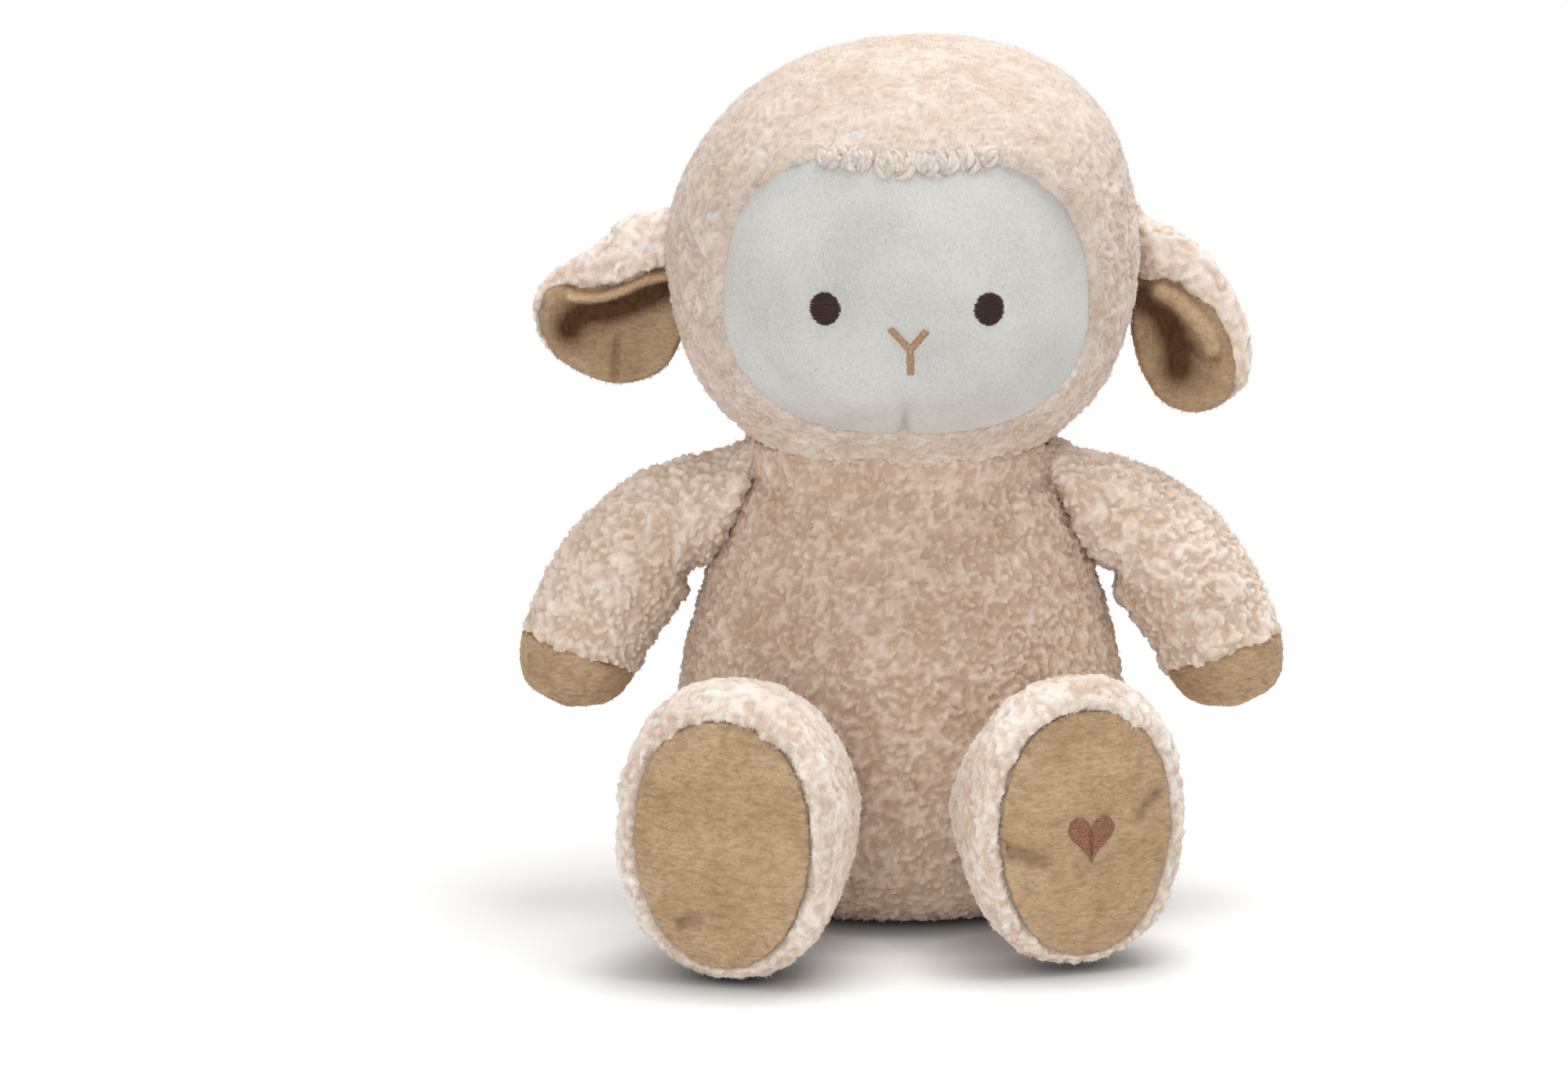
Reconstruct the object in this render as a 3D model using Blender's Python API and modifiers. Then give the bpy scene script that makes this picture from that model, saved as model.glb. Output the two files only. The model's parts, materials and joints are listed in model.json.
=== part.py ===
"""Seated plush sheep: fleece covers, velour face, short-pile trims and fillings.

Metres, +Z up, the face looks along -Y. The origin is the middle of the flat seat.
The toy's own right side is at -X and its left side at +X.
"""

import math

import bmesh
import bpy
from mathutils import Matrix, Vector

# Clearances and cloth
gap = 0.0003
filling_slack = 0.0010
fleece_wall = 0.0045
thread = 0.0011

# Torso
torso_height = 0.167
torso_half_width = 0.082
torso_half_depth = 0.061
torso_lean = 0.004
pellet_bag_height = 0.030
# Height, width and depth shares from the seat to the neck
torso_shares = (
    (0.000, 0.54, 0.50),
    (0.020, 0.68, 0.65),
    (0.065, 0.82, 0.80),
    (0.150, 0.94, 0.93),
    (0.280, 1.00, 1.00),
    (0.420, 0.995, 0.995),
    (0.560, 0.95, 0.95),
    (0.700, 0.87, 0.88),
    (0.820, 0.785, 0.80),
    (0.920, 0.700, 0.74),
    (1.000, 0.600, 0.68),
)
torso_rings = 13
torso_segments = 28
torso_roundness = 2.15
torso_turn_share = 0.45
bag_rings = 6

# Head
head_height = 0.147
head_half_width = 0.084
head_half_depth = 0.069
head_forward = 0.006
head_side_shift = -0.0002
crown_lean = 0.0075
head_shares = (
    (0.000, 0.500, 0.520),
    (0.030, 0.625, 0.640),
    (0.100, 0.775, 0.785),
    (0.220, 0.905, 0.920),
    (0.360, 0.975, 0.985),
    (0.500, 1.000, 1.000),
    (0.640, 0.952, 0.970),
    (0.770, 0.855, 0.880),
    (0.870, 0.705, 0.730),
    (0.945, 0.500, 0.510),
    (0.988, 0.245, 0.250),
    (1.000, 0.000, 0.000),
)
head_rings = 14
head_segments = 32
head_roundness = 2.2
# Shares of the head's height where it has settled forward and where its crown starts to lean
head_settle_share = 0.25
crown_start_share = 0.60
crown_ring_share = 0.08
face_cut_share = 0.33

# Face panel and embroidery
face_half_width = 0.0615
face_half_height = 0.0480
face_side_shift = 0.0016
face_centre_height_share = 0.415
face_roundness = 2.6
face_puff = 0.0040
cheek_puff = 0.0030
cheek_side_share = 0.42
cheek_drop_share = 0.45
cheek_reach_share = 0.36
face_rings = 5
face_segments = 36
face_edge_power = 6
cheek_edge_power = 4
# Share of an eye's half size and of the thread's rise, from the back to the top
eye_shares = ((0.5, 0.0), (1.0, 0.0), (1.0, 0.5), (0.6, 1.0))
eye_half_width = 0.0049
eye_half_height = 0.0053
eye_spacing = 0.0552
eye_rise = -0.0006
eye_segments = 12
nose_half_width = 0.0066
nose_arm_height = 0.0070
nose_stem_length = 0.0095
nose_stitch_width = 0.0028
nose_drop = 0.0136
nose_notch_share = 1.5

# Ears
ear_right_half_width = 0.0235
ear_left_half_width = 0.0205
ear_back_thickness = 0.0075
ear_lining_thickness = 0.0045
ear_height_share = 0.50
ear_segments = 14
ear_rings = 10
# Steps outwards and down from the root, as shares of ear_reach
ear_reach = 0.033
ear_right_path_shares = (
    (0.00, 0.00),
    (0.38, 0.16),
    (0.67, 0.50),
    (0.80, 0.96),
    (0.76, 1.48),
)
ear_left_path_shares = (
    (0.00, 0.00),
    (0.34, 0.22),
    (0.58, 0.62),
    (0.70, 1.14),
    (0.66, 1.74),
)
# Share of the way along, half-width share
ear_width_shares = (
    (0.00, 0.18),
    (0.16, 0.52),
    (0.38, 0.88),
    (0.62, 1.00),
    (0.85, 0.76),
    (1.00, 0.22),
)
ear_look_share = 0.05
ear_droop_range = 10.0
ear_raise_range = 35.0

# Arms
arm_seat_share = 0.880
arm_turn_share = 0.40
arm_swell = 0.0232
arm_reach = 0.0590
arm_drop = 0.0735
arm_forward = 0.010
# Outward share of arm_reach and downward share of arm_drop
arm_path_shares = (
    (0.00, 0.00),
    (0.33, 0.10),
    (0.60, 0.28),
    (0.80, 0.52),
    (0.93, 0.76),
    (1.00, 1.00),
)
# Share of the way along, half-thickness share of arm_swell
arm_size_shares = (
    (0.00, 0.98),
    (0.15, 0.96),
    (0.35, 0.98),
    (0.55, 1.01),
    (0.72, 0.95),
    (0.86, 0.84),
    (0.95, 0.60),
    (1.00, 0.00),
)
wrist_share = 0.77
arm_tip_share = 0.985
arm_seat_reach_share = 0.10
arm_look_share = 0.04
sleeve_rings = 10
sleeve_cavity_ring = 2
cap_rings = 7
arm_segments = 18

# Legs
leg_half_width = 0.0395
leg_half_height = 0.0525
leg_right_yaw = 17.0
leg_left_yaw = 21.0
leg_range = 30.0
hip_pivot_depth = 0.010
leg_right_length = 0.069
leg_left_length = 0.052
leg_spread = 0.005
leg_floor_clearance = 0.0005
# Share of the length, width share, height share
leg_shares = (
    (0.00, 0.66, 0.74),
    (0.20, 0.84, 0.84),
    (0.45, 0.92, 0.93),
    (0.65, 0.97, 0.98),
    (0.82, 1.00, 1.00),
    (0.92, 0.985, 0.985),
    (0.98, 0.95, 0.95),
    (1.00, 0.89, 0.89),
)
leg_rings = 12
leg_segments = 24
leg_roundness = 2.25
leg_cavity_start_share = 0.22
hip_sharpness = 5.0
sole_overlap = 0.0012
sole_thickness = 0.0020
sole_puff = 0.0030
sole_drop = 0.0030
sole_point_share = 0.10
sole_rings = 4
# Share of the sole's half size and of its thickness, from the back to the edge
sole_edge_shares = ((0.6, 0.0), (1.0, 0.0), (1.0, 1.0))
motif_half_size = 0.0090
motif_thickness = 0.0008
motif_segments = 28
# Share of the motif's half size and of its thickness, from the back to the top
motif_shares = ((0.50, 0.0), (1.0, 0.0), (1.0, 0.5), (0.55, 1.0))
heart_width_share = 0.941
# How much of one, two, three and four turns the heart's height takes
heart_height_shares = (0.765, -0.294, -0.118, -0.059)

# Tail
tail_length = 0.034
tail_half_width = 0.0130
tail_tilt = 12.0
tail_pivot_depth = 0.009
tail_shares = (
    (0.00, 0.16),
    (0.18, 0.55),
    (0.40, 0.90),
    (0.62, 1.00),
    (0.82, 0.82),
    (0.95, 0.42),
    (1.00, 0.00),
)
tail_segments = 12
tail_rings = 8

# Closing seam
seam_low_share = 0.30
seam_high_share = 0.60
seam_half_width = 0.0022
seam_stitches = 11

weld_distance = 0.00001

up = Vector((0.0, 0.0, 1.0))
side_on = Vector((1.0, 0.0, 0.0))
front = Vector((0.0, -1.0, 0.0))
turn = 2.0 * math.pi


def start_clean():
    """Remove what the scene holds and make the two collections."""
    for item in list(bpy.data.objects):
        bpy.data.objects.remove(item, do_unlink=True)
    for name in ("plush_sheep", "cutters"):
        group = bpy.data.collections.new(name)
        bpy.context.scene.collection.children.link(group)


def material(name, colour, roughness):
    """A plain Principled material."""
    finish = bpy.data.materials.new(name)
    finish.use_nodes = True
    shader = finish.node_tree.nodes["Principled BSDF"]
    shader.inputs["Base Color"].default_value = (*colour, 1.0)
    shader.inputs["Roughness"].default_value = roughness
    shader.inputs["Metallic"].default_value = 0.0
    return finish


def new_object(name, mesh, finish, pivot=None):
    """Put a mesh in the part's collection, with its origin on its pivot."""
    piece = bpy.data.objects.new(name, mesh)
    bpy.data.collections["plush_sheep"].objects.link(piece)
    if finish is not None:
        mesh.materials.append(finish)
    if pivot is not None:
        mesh.transform(Matrix.Translation(-pivot))
        piece.location = pivot
    mesh.shade_smooth()
    return piece


def blend_rows(rows, share):
    """Smoothly interpolate rows whose first value is their share of the way."""
    share = min(max(share, rows[0][0]), rows[-1][0])
    index = 0
    while index < len(rows) - 2 and share > rows[index + 1][0]:
        index += 1
    low, high = rows[index], rows[index + 1]
    before = rows[max(index - 1, 0)]
    after = rows[min(index + 2, len(rows) - 1)]
    span = high[0] - low[0]
    t = (share - low[0]) / span
    values = []
    for column in range(1, len(low)):
        slope_in = (high[column] - before[column]) / (high[0] - before[0])
        slope_out = (after[column] - low[column]) / (after[0] - low[0])
        a = low[column]
        b = high[column]
        rise = slope_in * span
        fall = slope_out * span
        cubic = 2.0 * a - 2.0 * b + rise + fall
        square = 3.0 * b - 3.0 * a - 2.0 * rise - fall
        values.append(a + t * (rise + t * (square + t * cubic)))
    return values


def even_rows(points):
    """Give evenly spaced shares to the points of a path."""
    last = len(points) - 1
    return [(index / last, *point) for index, point in enumerate(points)]


def outline(angle, roundness):
    """A point on a unit superellipse."""
    c = math.cos(angle)
    s = math.sin(angle)
    power = 2.0 / roundness
    return (
        math.copysign(abs(c) ** power, c),
        math.copysign(abs(s) ** power, s),
    )


def ring(centre, side, rise, half_side, half_rise, segments, roundness=2.0):
    """Points round a centre in the plane of two directions."""
    points = []
    for step in range(segments):
        a, b = outline(turn * step / segments, roundness)
        points.append(centre + side * (a * half_side) + rise * (b * half_rise))
    return points


def loft(name, rings, start=None, end=None):
    """Skin a run of unlike sections, with a middle point where an end is closed."""
    work = bmesh.new()
    rows = [[work.verts.new(point) for point in section] for section in rings]
    count = len(rows[0])
    for low, high in zip(rows, rows[1:]):
        for step in range(count):
            after = (step + 1) % count
            work.faces.new((low[step], low[after], high[after], high[step]))
    for row, middle in ((rows[0], start), (rows[-1], end)):
        if middle is None:
            continue
        pole = work.verts.new(middle)
        for step in range(count):
            work.faces.new((row[step], row[(step + 1) % count], pole))
    bmesh.ops.recalc_face_normals(work, faces=work.faces)
    if start is not None and end is not None and work.calc_volume(signed=True) < 0.0:
        bmesh.ops.reverse_faces(work, faces=work.faces)
    mesh = bpy.data.meshes.new(name)
    work.to_mesh(mesh)
    work.free()
    return mesh


def face_outwards(mesh, inside):
    """Turn an open skin so that its faces look away from a point inside it."""
    lean = 0.0
    for face in mesh.polygons:
        lean += face.area * face.normal.dot(face.center - inside)
    if lean < 0.0:
        mesh.flip_normals()


def shrink(mesh, depth):
    """Move a closed skin inwards by an even depth."""
    work = bmesh.new()
    work.from_mesh(mesh)
    work.normal_update()
    moves = [vert.normal * (depth * vert.calc_shell_factor()) for vert in work.verts]
    for vert, move in zip(work.verts, moves):
        vert.co -= move
    work.to_mesh(mesh)
    work.free()


def add_wall(piece, wall):
    """Give an open skin its thickness, inwards."""
    shell = piece.modifiers.new("wall", "SOLIDIFY")
    shell.thickness = wall
    shell.offset = -1.0
    shell.use_even_offset = True
    shell.use_quality_normals = True


def cut(piece, cutter_mesh):
    """Subtract a closed mesh from a piece."""
    cutter = bpy.data.objects.new(piece.name + "_cutter", cutter_mesh)
    bpy.data.collections["cutters"].objects.link(cutter)
    cutter.hide_render = True
    cutter.display_type = "WIRE"
    opening = piece.modifiers.new("opening", "BOOLEAN")
    opening.operation = "DIFFERENCE"
    opening.solver = "EXACT"
    opening.object = cutter


# Torso


def torso_ring(share):
    """One section of the torso."""
    width, depth = blend_rows(torso_shares, share)
    centre = Vector((0.0, torso_lean * share, torso_height * share))
    return ring(
        centre,
        side_on,
        -front,
        torso_half_width * width,
        torso_half_depth * depth,
        torso_segments,
        torso_roundness,
    )


def torso_sections(low, high):
    """Sections between two shares of the torso's height, closer where it turns."""
    sections = []
    for step in range(torso_rings):
        t = step / (torso_rings - 1)
        eased = t ** (1.0 + torso_turn_share * (1.0 - t))
        sections.append(torso_ring(low + (high - low) * eased))
    return sections


def middle(points):
    """The mean of some points."""
    return sum(points, Vector()) / len(points)


def torso_support(direction):
    """The torso's furthest point in a direction."""
    points = [point for section in torso_sections(0.0, 1.0) for point in section]
    return max(points, key=lambda point: point.dot(direction))


def make_torso(fleece, fibre, pellets, cotton):
    """The body cover, its filling, the pellet bag and the closing seam."""
    sections = torso_sections(0.0, 1.0)
    skin = loft("body_cover", sections, start=middle(sections[0]))
    face_outwards(skin, Vector((0.0, 0.0, torso_height / 2.0)))
    cover = new_object("body_cover", skin, fleece)
    add_wall(cover, fleece_wall)

    bag_top = (pellet_bag_height + fleece_wall) / torso_height
    bag_sections = [torso_ring(bag_top * step / (bag_rings - 1)) for step in range(bag_rings)]
    bag = loft("seat_pellet_bag", bag_sections, middle(bag_sections[0]), middle(bag_sections[-1]))
    shrink(bag, fleece_wall + filling_slack)
    new_object("seat_pellet_bag", bag, pellets)

    fill_low = (pellet_bag_height - fleece_wall) / torso_height
    fill_sections = torso_sections(fill_low, 1.0)
    filling = loft("body_filling", fill_sections, middle(fill_sections[0]), middle(fill_sections[-1]))
    shrink(filling, fleece_wall + filling_slack)
    new_object("body_filling", filling, fibre)

    make_closing_seam(cotton)


def back_point(share):
    """The middle of the torso's back at a share of its height."""
    depth = blend_rows(torso_shares, share)[1]
    return Vector((0.0, torso_lean * share + torso_half_depth * depth, torso_height * share))


def make_closing_seam(cotton):
    """The ladder stitch that shuts the back, one thread going side to side."""
    curve = bpy.data.curves.new("closing_seam", "CURVE")
    curve.dimensions = "3D"
    curve.bevel_depth = thread / 2.0
    curve.bevel_resolution = 1
    curve.use_fill_caps = True
    line = curve.splines.new("POLY")
    turns = seam_stitches + seam_stitches
    line.points.add(turns - 1)
    stand = gap + thread
    for index in range(turns):
        t = (index // 2) / (seam_stitches - 1)
        share = seam_low_share + (seam_high_share - seam_low_share) * t
        side = seam_half_width if index % 4 in (1, 2) else -seam_half_width
        place = back_point(share) + Vector((side, stand, 0.0))
        line.points[index].co = (*place, 1.0)
    guide = bpy.data.objects.new("closing_seam_guide", curve)
    bpy.data.collections["plush_sheep"].objects.link(guide)
    mesh = as_mesh(guide, "closing_seam")
    new_object("closing_seam", mesh, cotton)


def as_mesh(guide, name):
    """Turn a curve into a welded mesh and remove the curve."""
    bpy.context.view_layer.update()
    graph = bpy.context.evaluated_depsgraph_get()
    mesh = bpy.data.meshes.new_from_object(guide.evaluated_get(graph))
    mesh.name = name
    mesh.transform(guide.matrix_world)
    bpy.data.objects.remove(guide, do_unlink=True)
    work = bmesh.new()
    work.from_mesh(mesh)
    bmesh.ops.remove_doubles(work, verts=work.verts, dist=weld_distance)
    bmesh.ops.recalc_face_normals(work, faces=work.faces)
    work.to_mesh(mesh)
    work.free()
    return mesh


# Head


def head_base():
    """The middle of the head's underside, just above the neck."""
    return Vector((0.0, 0.0, torso_height + gap))


def head_centre(share):
    """The middle of the head's section at a share of its height."""
    settle = min(share / head_settle_share, 1.0)
    crown = max((share - crown_start_share) / (1.0 - crown_start_share), 0.0)
    sideways = head_side_shift * settle + crown_lean * crown
    return head_base() + Vector((sideways, -head_forward * settle, head_height * share))


def head_ring(share):
    """One section of the head."""
    width, depth = blend_rows(head_shares, share)
    return ring(
        head_centre(share),
        side_on,
        -front,
        head_half_width * width,
        head_half_depth * depth,
        head_segments,
        head_roundness,
    )


def head_sections():
    """Sections of the head from the neck to just under the crown."""
    sections = []
    for step in range(head_rings):
        t = crown_ring_share + (1.0 - crown_ring_share) * step / head_rings
        share = (1.0 - math.cos(math.pi * t)) / 2.0 if step else 0.0
        sections.append(head_ring(share))
    return sections


def head_front(x, z):
    """How far forward the head's skin is at a place seen from the front."""
    share = (z - head_base().z) / head_height
    width, depth = blend_rows(head_shares, share)
    centre = head_centre(share)
    across = min(abs(x - centre.x) / (head_half_width * width), 1.0)
    bulge = (1.0 - across ** head_roundness) ** (1.0 / head_roundness)
    return centre.y - head_half_depth * depth * bulge


def face_centre():
    """The middle of the face, on the head's skin."""
    x = face_side_shift
    z = head_base().z + head_height * face_centre_height_share
    return Vector((x, head_front(x, z), z))


def face_place(x_share, z_share):
    """A place inside the face outline, on the panel's outer side."""
    centre = face_centre()
    x = centre.x + face_half_width * x_share
    z = centre.z + face_half_height * z_share
    reach = min(math.hypot(x_share, z_share), 1.0)
    y = head_front(x, z) - face_puff * (1.0 - reach ** 2)
    for side in (-1.0, 1.0):
        across = (x_share - side * cheek_side_share) / cheek_reach_share
        along = (z_share + cheek_drop_share) / cheek_reach_share
        y -= cheek_puff * math.exp(-(across ** 2 + along ** 2)) * (1.0 - reach ** cheek_edge_power)
    return Vector((x, y, z))


def face_outline(shrink_by=0.0):
    """The face panel's outline as shares of its half sizes."""
    wide = 1.0 - shrink_by / face_half_width
    high = 1.0 - shrink_by / face_half_height
    points = []
    for step in range(face_segments):
        a, b = outline(turn * step / face_segments, face_roundness)
        points.append((a * wide, b * high))
    return points


def make_head(fleece, fibre, velour):
    """The head cover with its face opening, the filling and the face panel."""
    pivot = head_base()
    sections = head_sections()
    crown = head_centre(1.0)
    skin = loft("head_cover", sections, end=crown)
    face_outwards(skin, head_centre(0.5))
    cover = new_object("head_cover", skin, fleece, pivot)
    add_wall(cover, fleece_wall)

    centre = face_centre()
    rim = [
        Vector((centre.x + a * face_half_width, 0.0, centre.z + b * face_half_height))
        for a, b in face_outline()
    ]
    deep = front * (head_half_depth * face_cut_share - head_centre(1.0).y)
    clear = front * (head_half_depth + head_half_depth)
    rings = [[point + deep for point in rim], [point + clear for point in rim]]
    cutter = loft("face_opening", rings, middle(rings[0]), middle(rings[1]))
    cut(cover, cutter)

    stuffing = loft("head_filling", sections, middle(sections[0]), crown)
    shrink(stuffing, fleece_wall + filling_slack)
    new_object("head_filling", stuffing, fibre, pivot)

    new_object("face_panel", face_mesh(), velour, pivot)


def face_mesh():
    """The face panel: a puffed sheet that fills the opening."""
    rim = face_outline(gap)
    inner = []
    outer = []
    for step in range(1, face_rings + 1):
        share = step / face_rings
        edge = share ** face_edge_power
        inner_row = []
        outer_row = []
        for a, b in rim:
            outer_point = face_place(a * share, b * share)
            skin = head_front(outer_point.x, outer_point.z)
            back = skin + (fleece_wall - gap) * (1.0 - edge) + gap
            front_y = outer_point.y + gap * edge
            inner_row.append(Vector((outer_point.x, back, outer_point.z)))
            outer_row.append(Vector((outer_point.x, front_y, outer_point.z)))
        inner.append(inner_row)
        outer.append(outer_row)
    rings = inner[:-1] + [outer[-1]] + list(reversed(outer[:-1]))
    centre = face_centre()
    back_middle = Vector((centre.x, centre.y + fleece_wall - gap, centre.z))
    return loft("face_panel", rings, back_middle, face_place(0.0, 0.0))


def on_face(x, z, lift):
    """A place on the face panel at a distance from its middle, lifted off it."""
    place = face_place(x / face_half_width, z / face_half_height)
    return place + front * lift


def make_eye(name, side, finish):
    """One eye of satin stitch, a low oval pad on the face."""
    x0 = side * eye_spacing / 2.0
    z0 = eye_rise
    rings = []
    for share, lift in eye_shares:
        row = []
        for step in range(eye_segments):
            a, b = outline(turn * step / eye_segments, 2.0)
            x = x0 + a * share * eye_half_width
            z = z0 + b * share * eye_half_height
            row.append(on_face(x, z, gap + gap + thread * lift))
        rings.append(row)
    back = on_face(x0, z0, gap + gap)
    top = on_face(x0, z0, gap + gap + thread)
    new_object(name, loft(name, rings, back, top), finish, head_base())


def make_nose(finish):
    """The nose and mouth: a Y of satin stitch that follows the face."""
    curve = bpy.data.curves.new("nose_mouth", "CURVE")
    curve.dimensions = "2D"
    curve.fill_mode = "BOTH"
    curve.extrude = thread / 2.0
    half = nose_stitch_width / 2.0
    corners = (
        (-half, -nose_stem_length),
        (half, -nose_stem_length),
        (half, -half),
        (nose_half_width + half / 2.0, nose_arm_height - half),
        (nose_half_width - half, nose_arm_height + half / 2.0),
        (0.0, half * nose_notch_share),
        (half - nose_half_width, nose_arm_height + half / 2.0),
        (-nose_half_width - half / 2.0, nose_arm_height - half),
        (-half, -half),
    )
    line = curve.splines.new("POLY")
    line.points.add(len(corners) - 1)
    line.use_cyclic_u = True
    for point, corner in zip(line.points, corners):
        point.co = (*corner, 0.0, 1.0)
    guide = bpy.data.objects.new("nose_mouth_guide", curve)
    bpy.data.collections["plush_sheep"].objects.link(guide)
    mesh = as_mesh(guide, "nose_mouth")
    for vert in mesh.vertices:
        lift = gap + gap + thread / 2.0 + vert.co.z
        vert.co = on_face(vert.co.x, vert.co.y - nose_drop, lift)
    work = bmesh.new()
    work.from_mesh(mesh)
    bmesh.ops.recalc_face_normals(work, faces=work.faces)
    work.to_mesh(mesh)
    work.free()
    new_object("nose_mouth", mesh, finish, head_base())


def ear_root(side):
    """Where an ear is sewn to the side of the head."""
    rings = [point for section in head_sections() for point in section]
    sideways = Vector((side, 0.0, 0.0))
    widest = max(rings, key=lambda point: point.dot(sideways))
    height = head_base().z + head_height * ear_height_share
    return Vector((widest.x + side * gap, head_centre(0.5).y, height))


def clear_of_head(place, root, side):
    """Keep a place on an ear outside the wedge that its swing needs at the root."""
    fall = root.z - place.z
    swing = ear_droop_range if fall > 0.0 else ear_raise_range
    least = side * root.x + abs(fall) * math.tan(math.radians(swing))
    if side * place.x < least:
        place = Vector((side * least, place.y, place.z))
    return place


def make_ear(side, word, path_shares, half_width, fleece, lining):
    """One ear: a fleece back and a short-pile lining, seam to seam."""
    root = ear_root(side)
    path = [
        root + Vector((side * ear_reach * out, 0.0, -ear_reach * down))
        for out, down in path_shares
    ]
    rows = even_rows([tuple(point) for point in path])
    layers = (
        ("ear_back_" + word, 1.0, ear_back_thickness, fleece),
        ("ear_lining_" + word, -1.0, ear_lining_thickness, lining),
    )
    for name, way, thickness, finish in layers:
        rings = []
        for step in range(ear_rings):
            share = step / (ear_rings - 1)
            centre = Vector(blend_rows(rows, share))
            ahead = Vector(blend_rows(rows, min(share + ear_look_share, 1.0)))
            behind = Vector(blend_rows(rows, max(share - ear_look_share, 0.0)))
            along = (ahead - behind).normalized()
            across = along.cross(front).normalized()
            size = blend_rows(ear_width_shares, share)[0]
            row = []
            for turn_step in range(ear_segments):
                a, b = outline(turn * turn_step / ear_segments, 2.0)
                depth = way * (gap + max(b, 0.0) * thickness * size)
                place = centre + across * (a * half_width * size) - front * depth
                row.append(clear_of_head(place, root, side))
            rings.append(row)
        start = middle(rings[0])
        mesh = loft(name, rings, start, middle(rings[-1]))
        new_object(name, mesh, finish, root)


# Arms


def torso_side(side, share):
    """The torso's outermost point at a share of its height."""
    width = blend_rows(torso_shares, share)[0]
    return Vector((side * torso_half_width * width, torso_lean * share, torso_height * share))


def arm_root(side):
    """Where an arm seats on the torso, and the direction square to that seat."""
    low = torso_side(side, arm_seat_share - arm_seat_reach_share)
    high = torso_side(side, arm_seat_share + arm_seat_reach_share)
    slope = high - low
    square = Vector((side * slope.z, 0.0, -side * slope.x)).normalized()
    seat = torso_side(side, arm_seat_share)
    clear = (torso_support(square) - seat).dot(square) + gap
    return seat + square * clear, square


def arm_point(side, share):
    """The arm's centre line."""
    root = arm_root(side)[0]
    out, down = blend_rows(even_rows(arm_path_shares), share)
    return root + Vector((side * arm_reach * out, -arm_forward * share, -arm_drop * down))


def arm_ring(side, share):
    """One section of an arm, turning from the seat's plane to the arm's run."""
    square = arm_root(side)[1]
    ahead = arm_point(side, min(share + arm_look_share, 1.0))
    run = ahead - arm_point(side, max(share - arm_look_share, 0.0))
    ease = min(share / arm_turn_share, 1.0)
    ease = ease * ease * (3.0 - 2.0 * ease)
    along = square.lerp(run.normalized(), ease).normalized()
    rise = along.cross(-front).normalized()
    depth = rise.cross(along).normalized()
    half_size = arm_swell * blend_rows(arm_size_shares, share)[0]
    return ring(arm_point(side, share), rise, depth, half_size, half_size, arm_segments)


def arm_sections(side, low, high, count):
    """Sections between two shares of an arm, closer near a rounded tip."""
    sections = []
    for step in range(count):
        t = step / (count - 1)
        sections.append(arm_ring(side, low + (high - low) * math.sin(t * math.pi / 2.0)))
    return sections


def make_arm(side, word, fleece, fibre, minky):
    """One arm: sleeve, hoof cap and filling."""
    pivot = arm_root(side)[0]
    steps = [step / (sleeve_rings - 1) for step in range(sleeve_rings)]
    sleeve_run = [arm_ring(side, wrist_share * step) for step in steps]
    cap_start = wrist_share + (gap + gap) / (arm_reach + arm_drop)
    cap_run = arm_sections(side, cap_start, arm_tip_share, cap_rings)
    tip = arm_point(side, 1.0)

    whole = sleeve_run[sleeve_cavity_ring:] + cap_run[1:]
    sleeve = loft("arm_cover_" + word, sleeve_run, middle(sleeve_run[0]), middle(sleeve_run[-1]))
    cap = loft("hoof_cap_" + word, cap_run, middle(cap_run[0]), tip)
    for mesh, finish in ((sleeve, fleece), (cap, minky)):
        hollow = loft(mesh.name + "_hollow", whole, middle(whole[0]), tip)
        shrink(hollow, fleece_wall)
        cut(new_object(mesh.name, mesh, finish, pivot), hollow)

    stuffing = loft("arm_filling_" + word, whole, middle(whole[0]), tip)
    shrink(stuffing, fleece_wall + filling_slack)
    new_object("arm_filling_" + word, stuffing, fibre, pivot)


# Legs


def leg_frame(side, length):
    """The hip, the leg's run, its sideways direction and its sole's middle."""
    yaw = math.radians(leg_left_yaw if side > 0.0 else leg_right_yaw)
    run = Vector((side * math.sin(yaw), -math.cos(yaw), 0.0))
    across = Vector((side * math.cos(yaw), math.sin(yaw), 0.0))
    touch = torso_support(run)
    height = leg_half_height + leg_floor_clearance
    hip = Vector((touch.x, touch.y, height)) + run * gap + across * leg_spread
    return hip, run, across, hip + run * length


def hip_room(distance):
    """Half the height that a leg may have near the torso, for its swing."""
    swing = math.radians(leg_range)
    past_pivot = distance - hip_pivot_depth
    return (hip_pivot_depth + past_pivot * math.cos(swing)) / math.sin(swing)


def soft_least(first, second):
    """The lesser of two sizes, rounded where they meet."""
    total = first ** -hip_sharpness + second ** -hip_sharpness
    return total ** (-1.0 / hip_sharpness)


def leg_ring(side, length, share, inset=0.0):
    """One section of a leg."""
    hip, run, across, sole = leg_frame(side, length)
    width, height = blend_rows(leg_shares, share)
    half_height = soft_least(leg_half_height * height, hip_room(length * share))
    return ring(
        hip.lerp(sole, share),
        across,
        up,
        leg_half_width * width - inset,
        half_height - inset,
        leg_segments,
        leg_roundness,
    )


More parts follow.
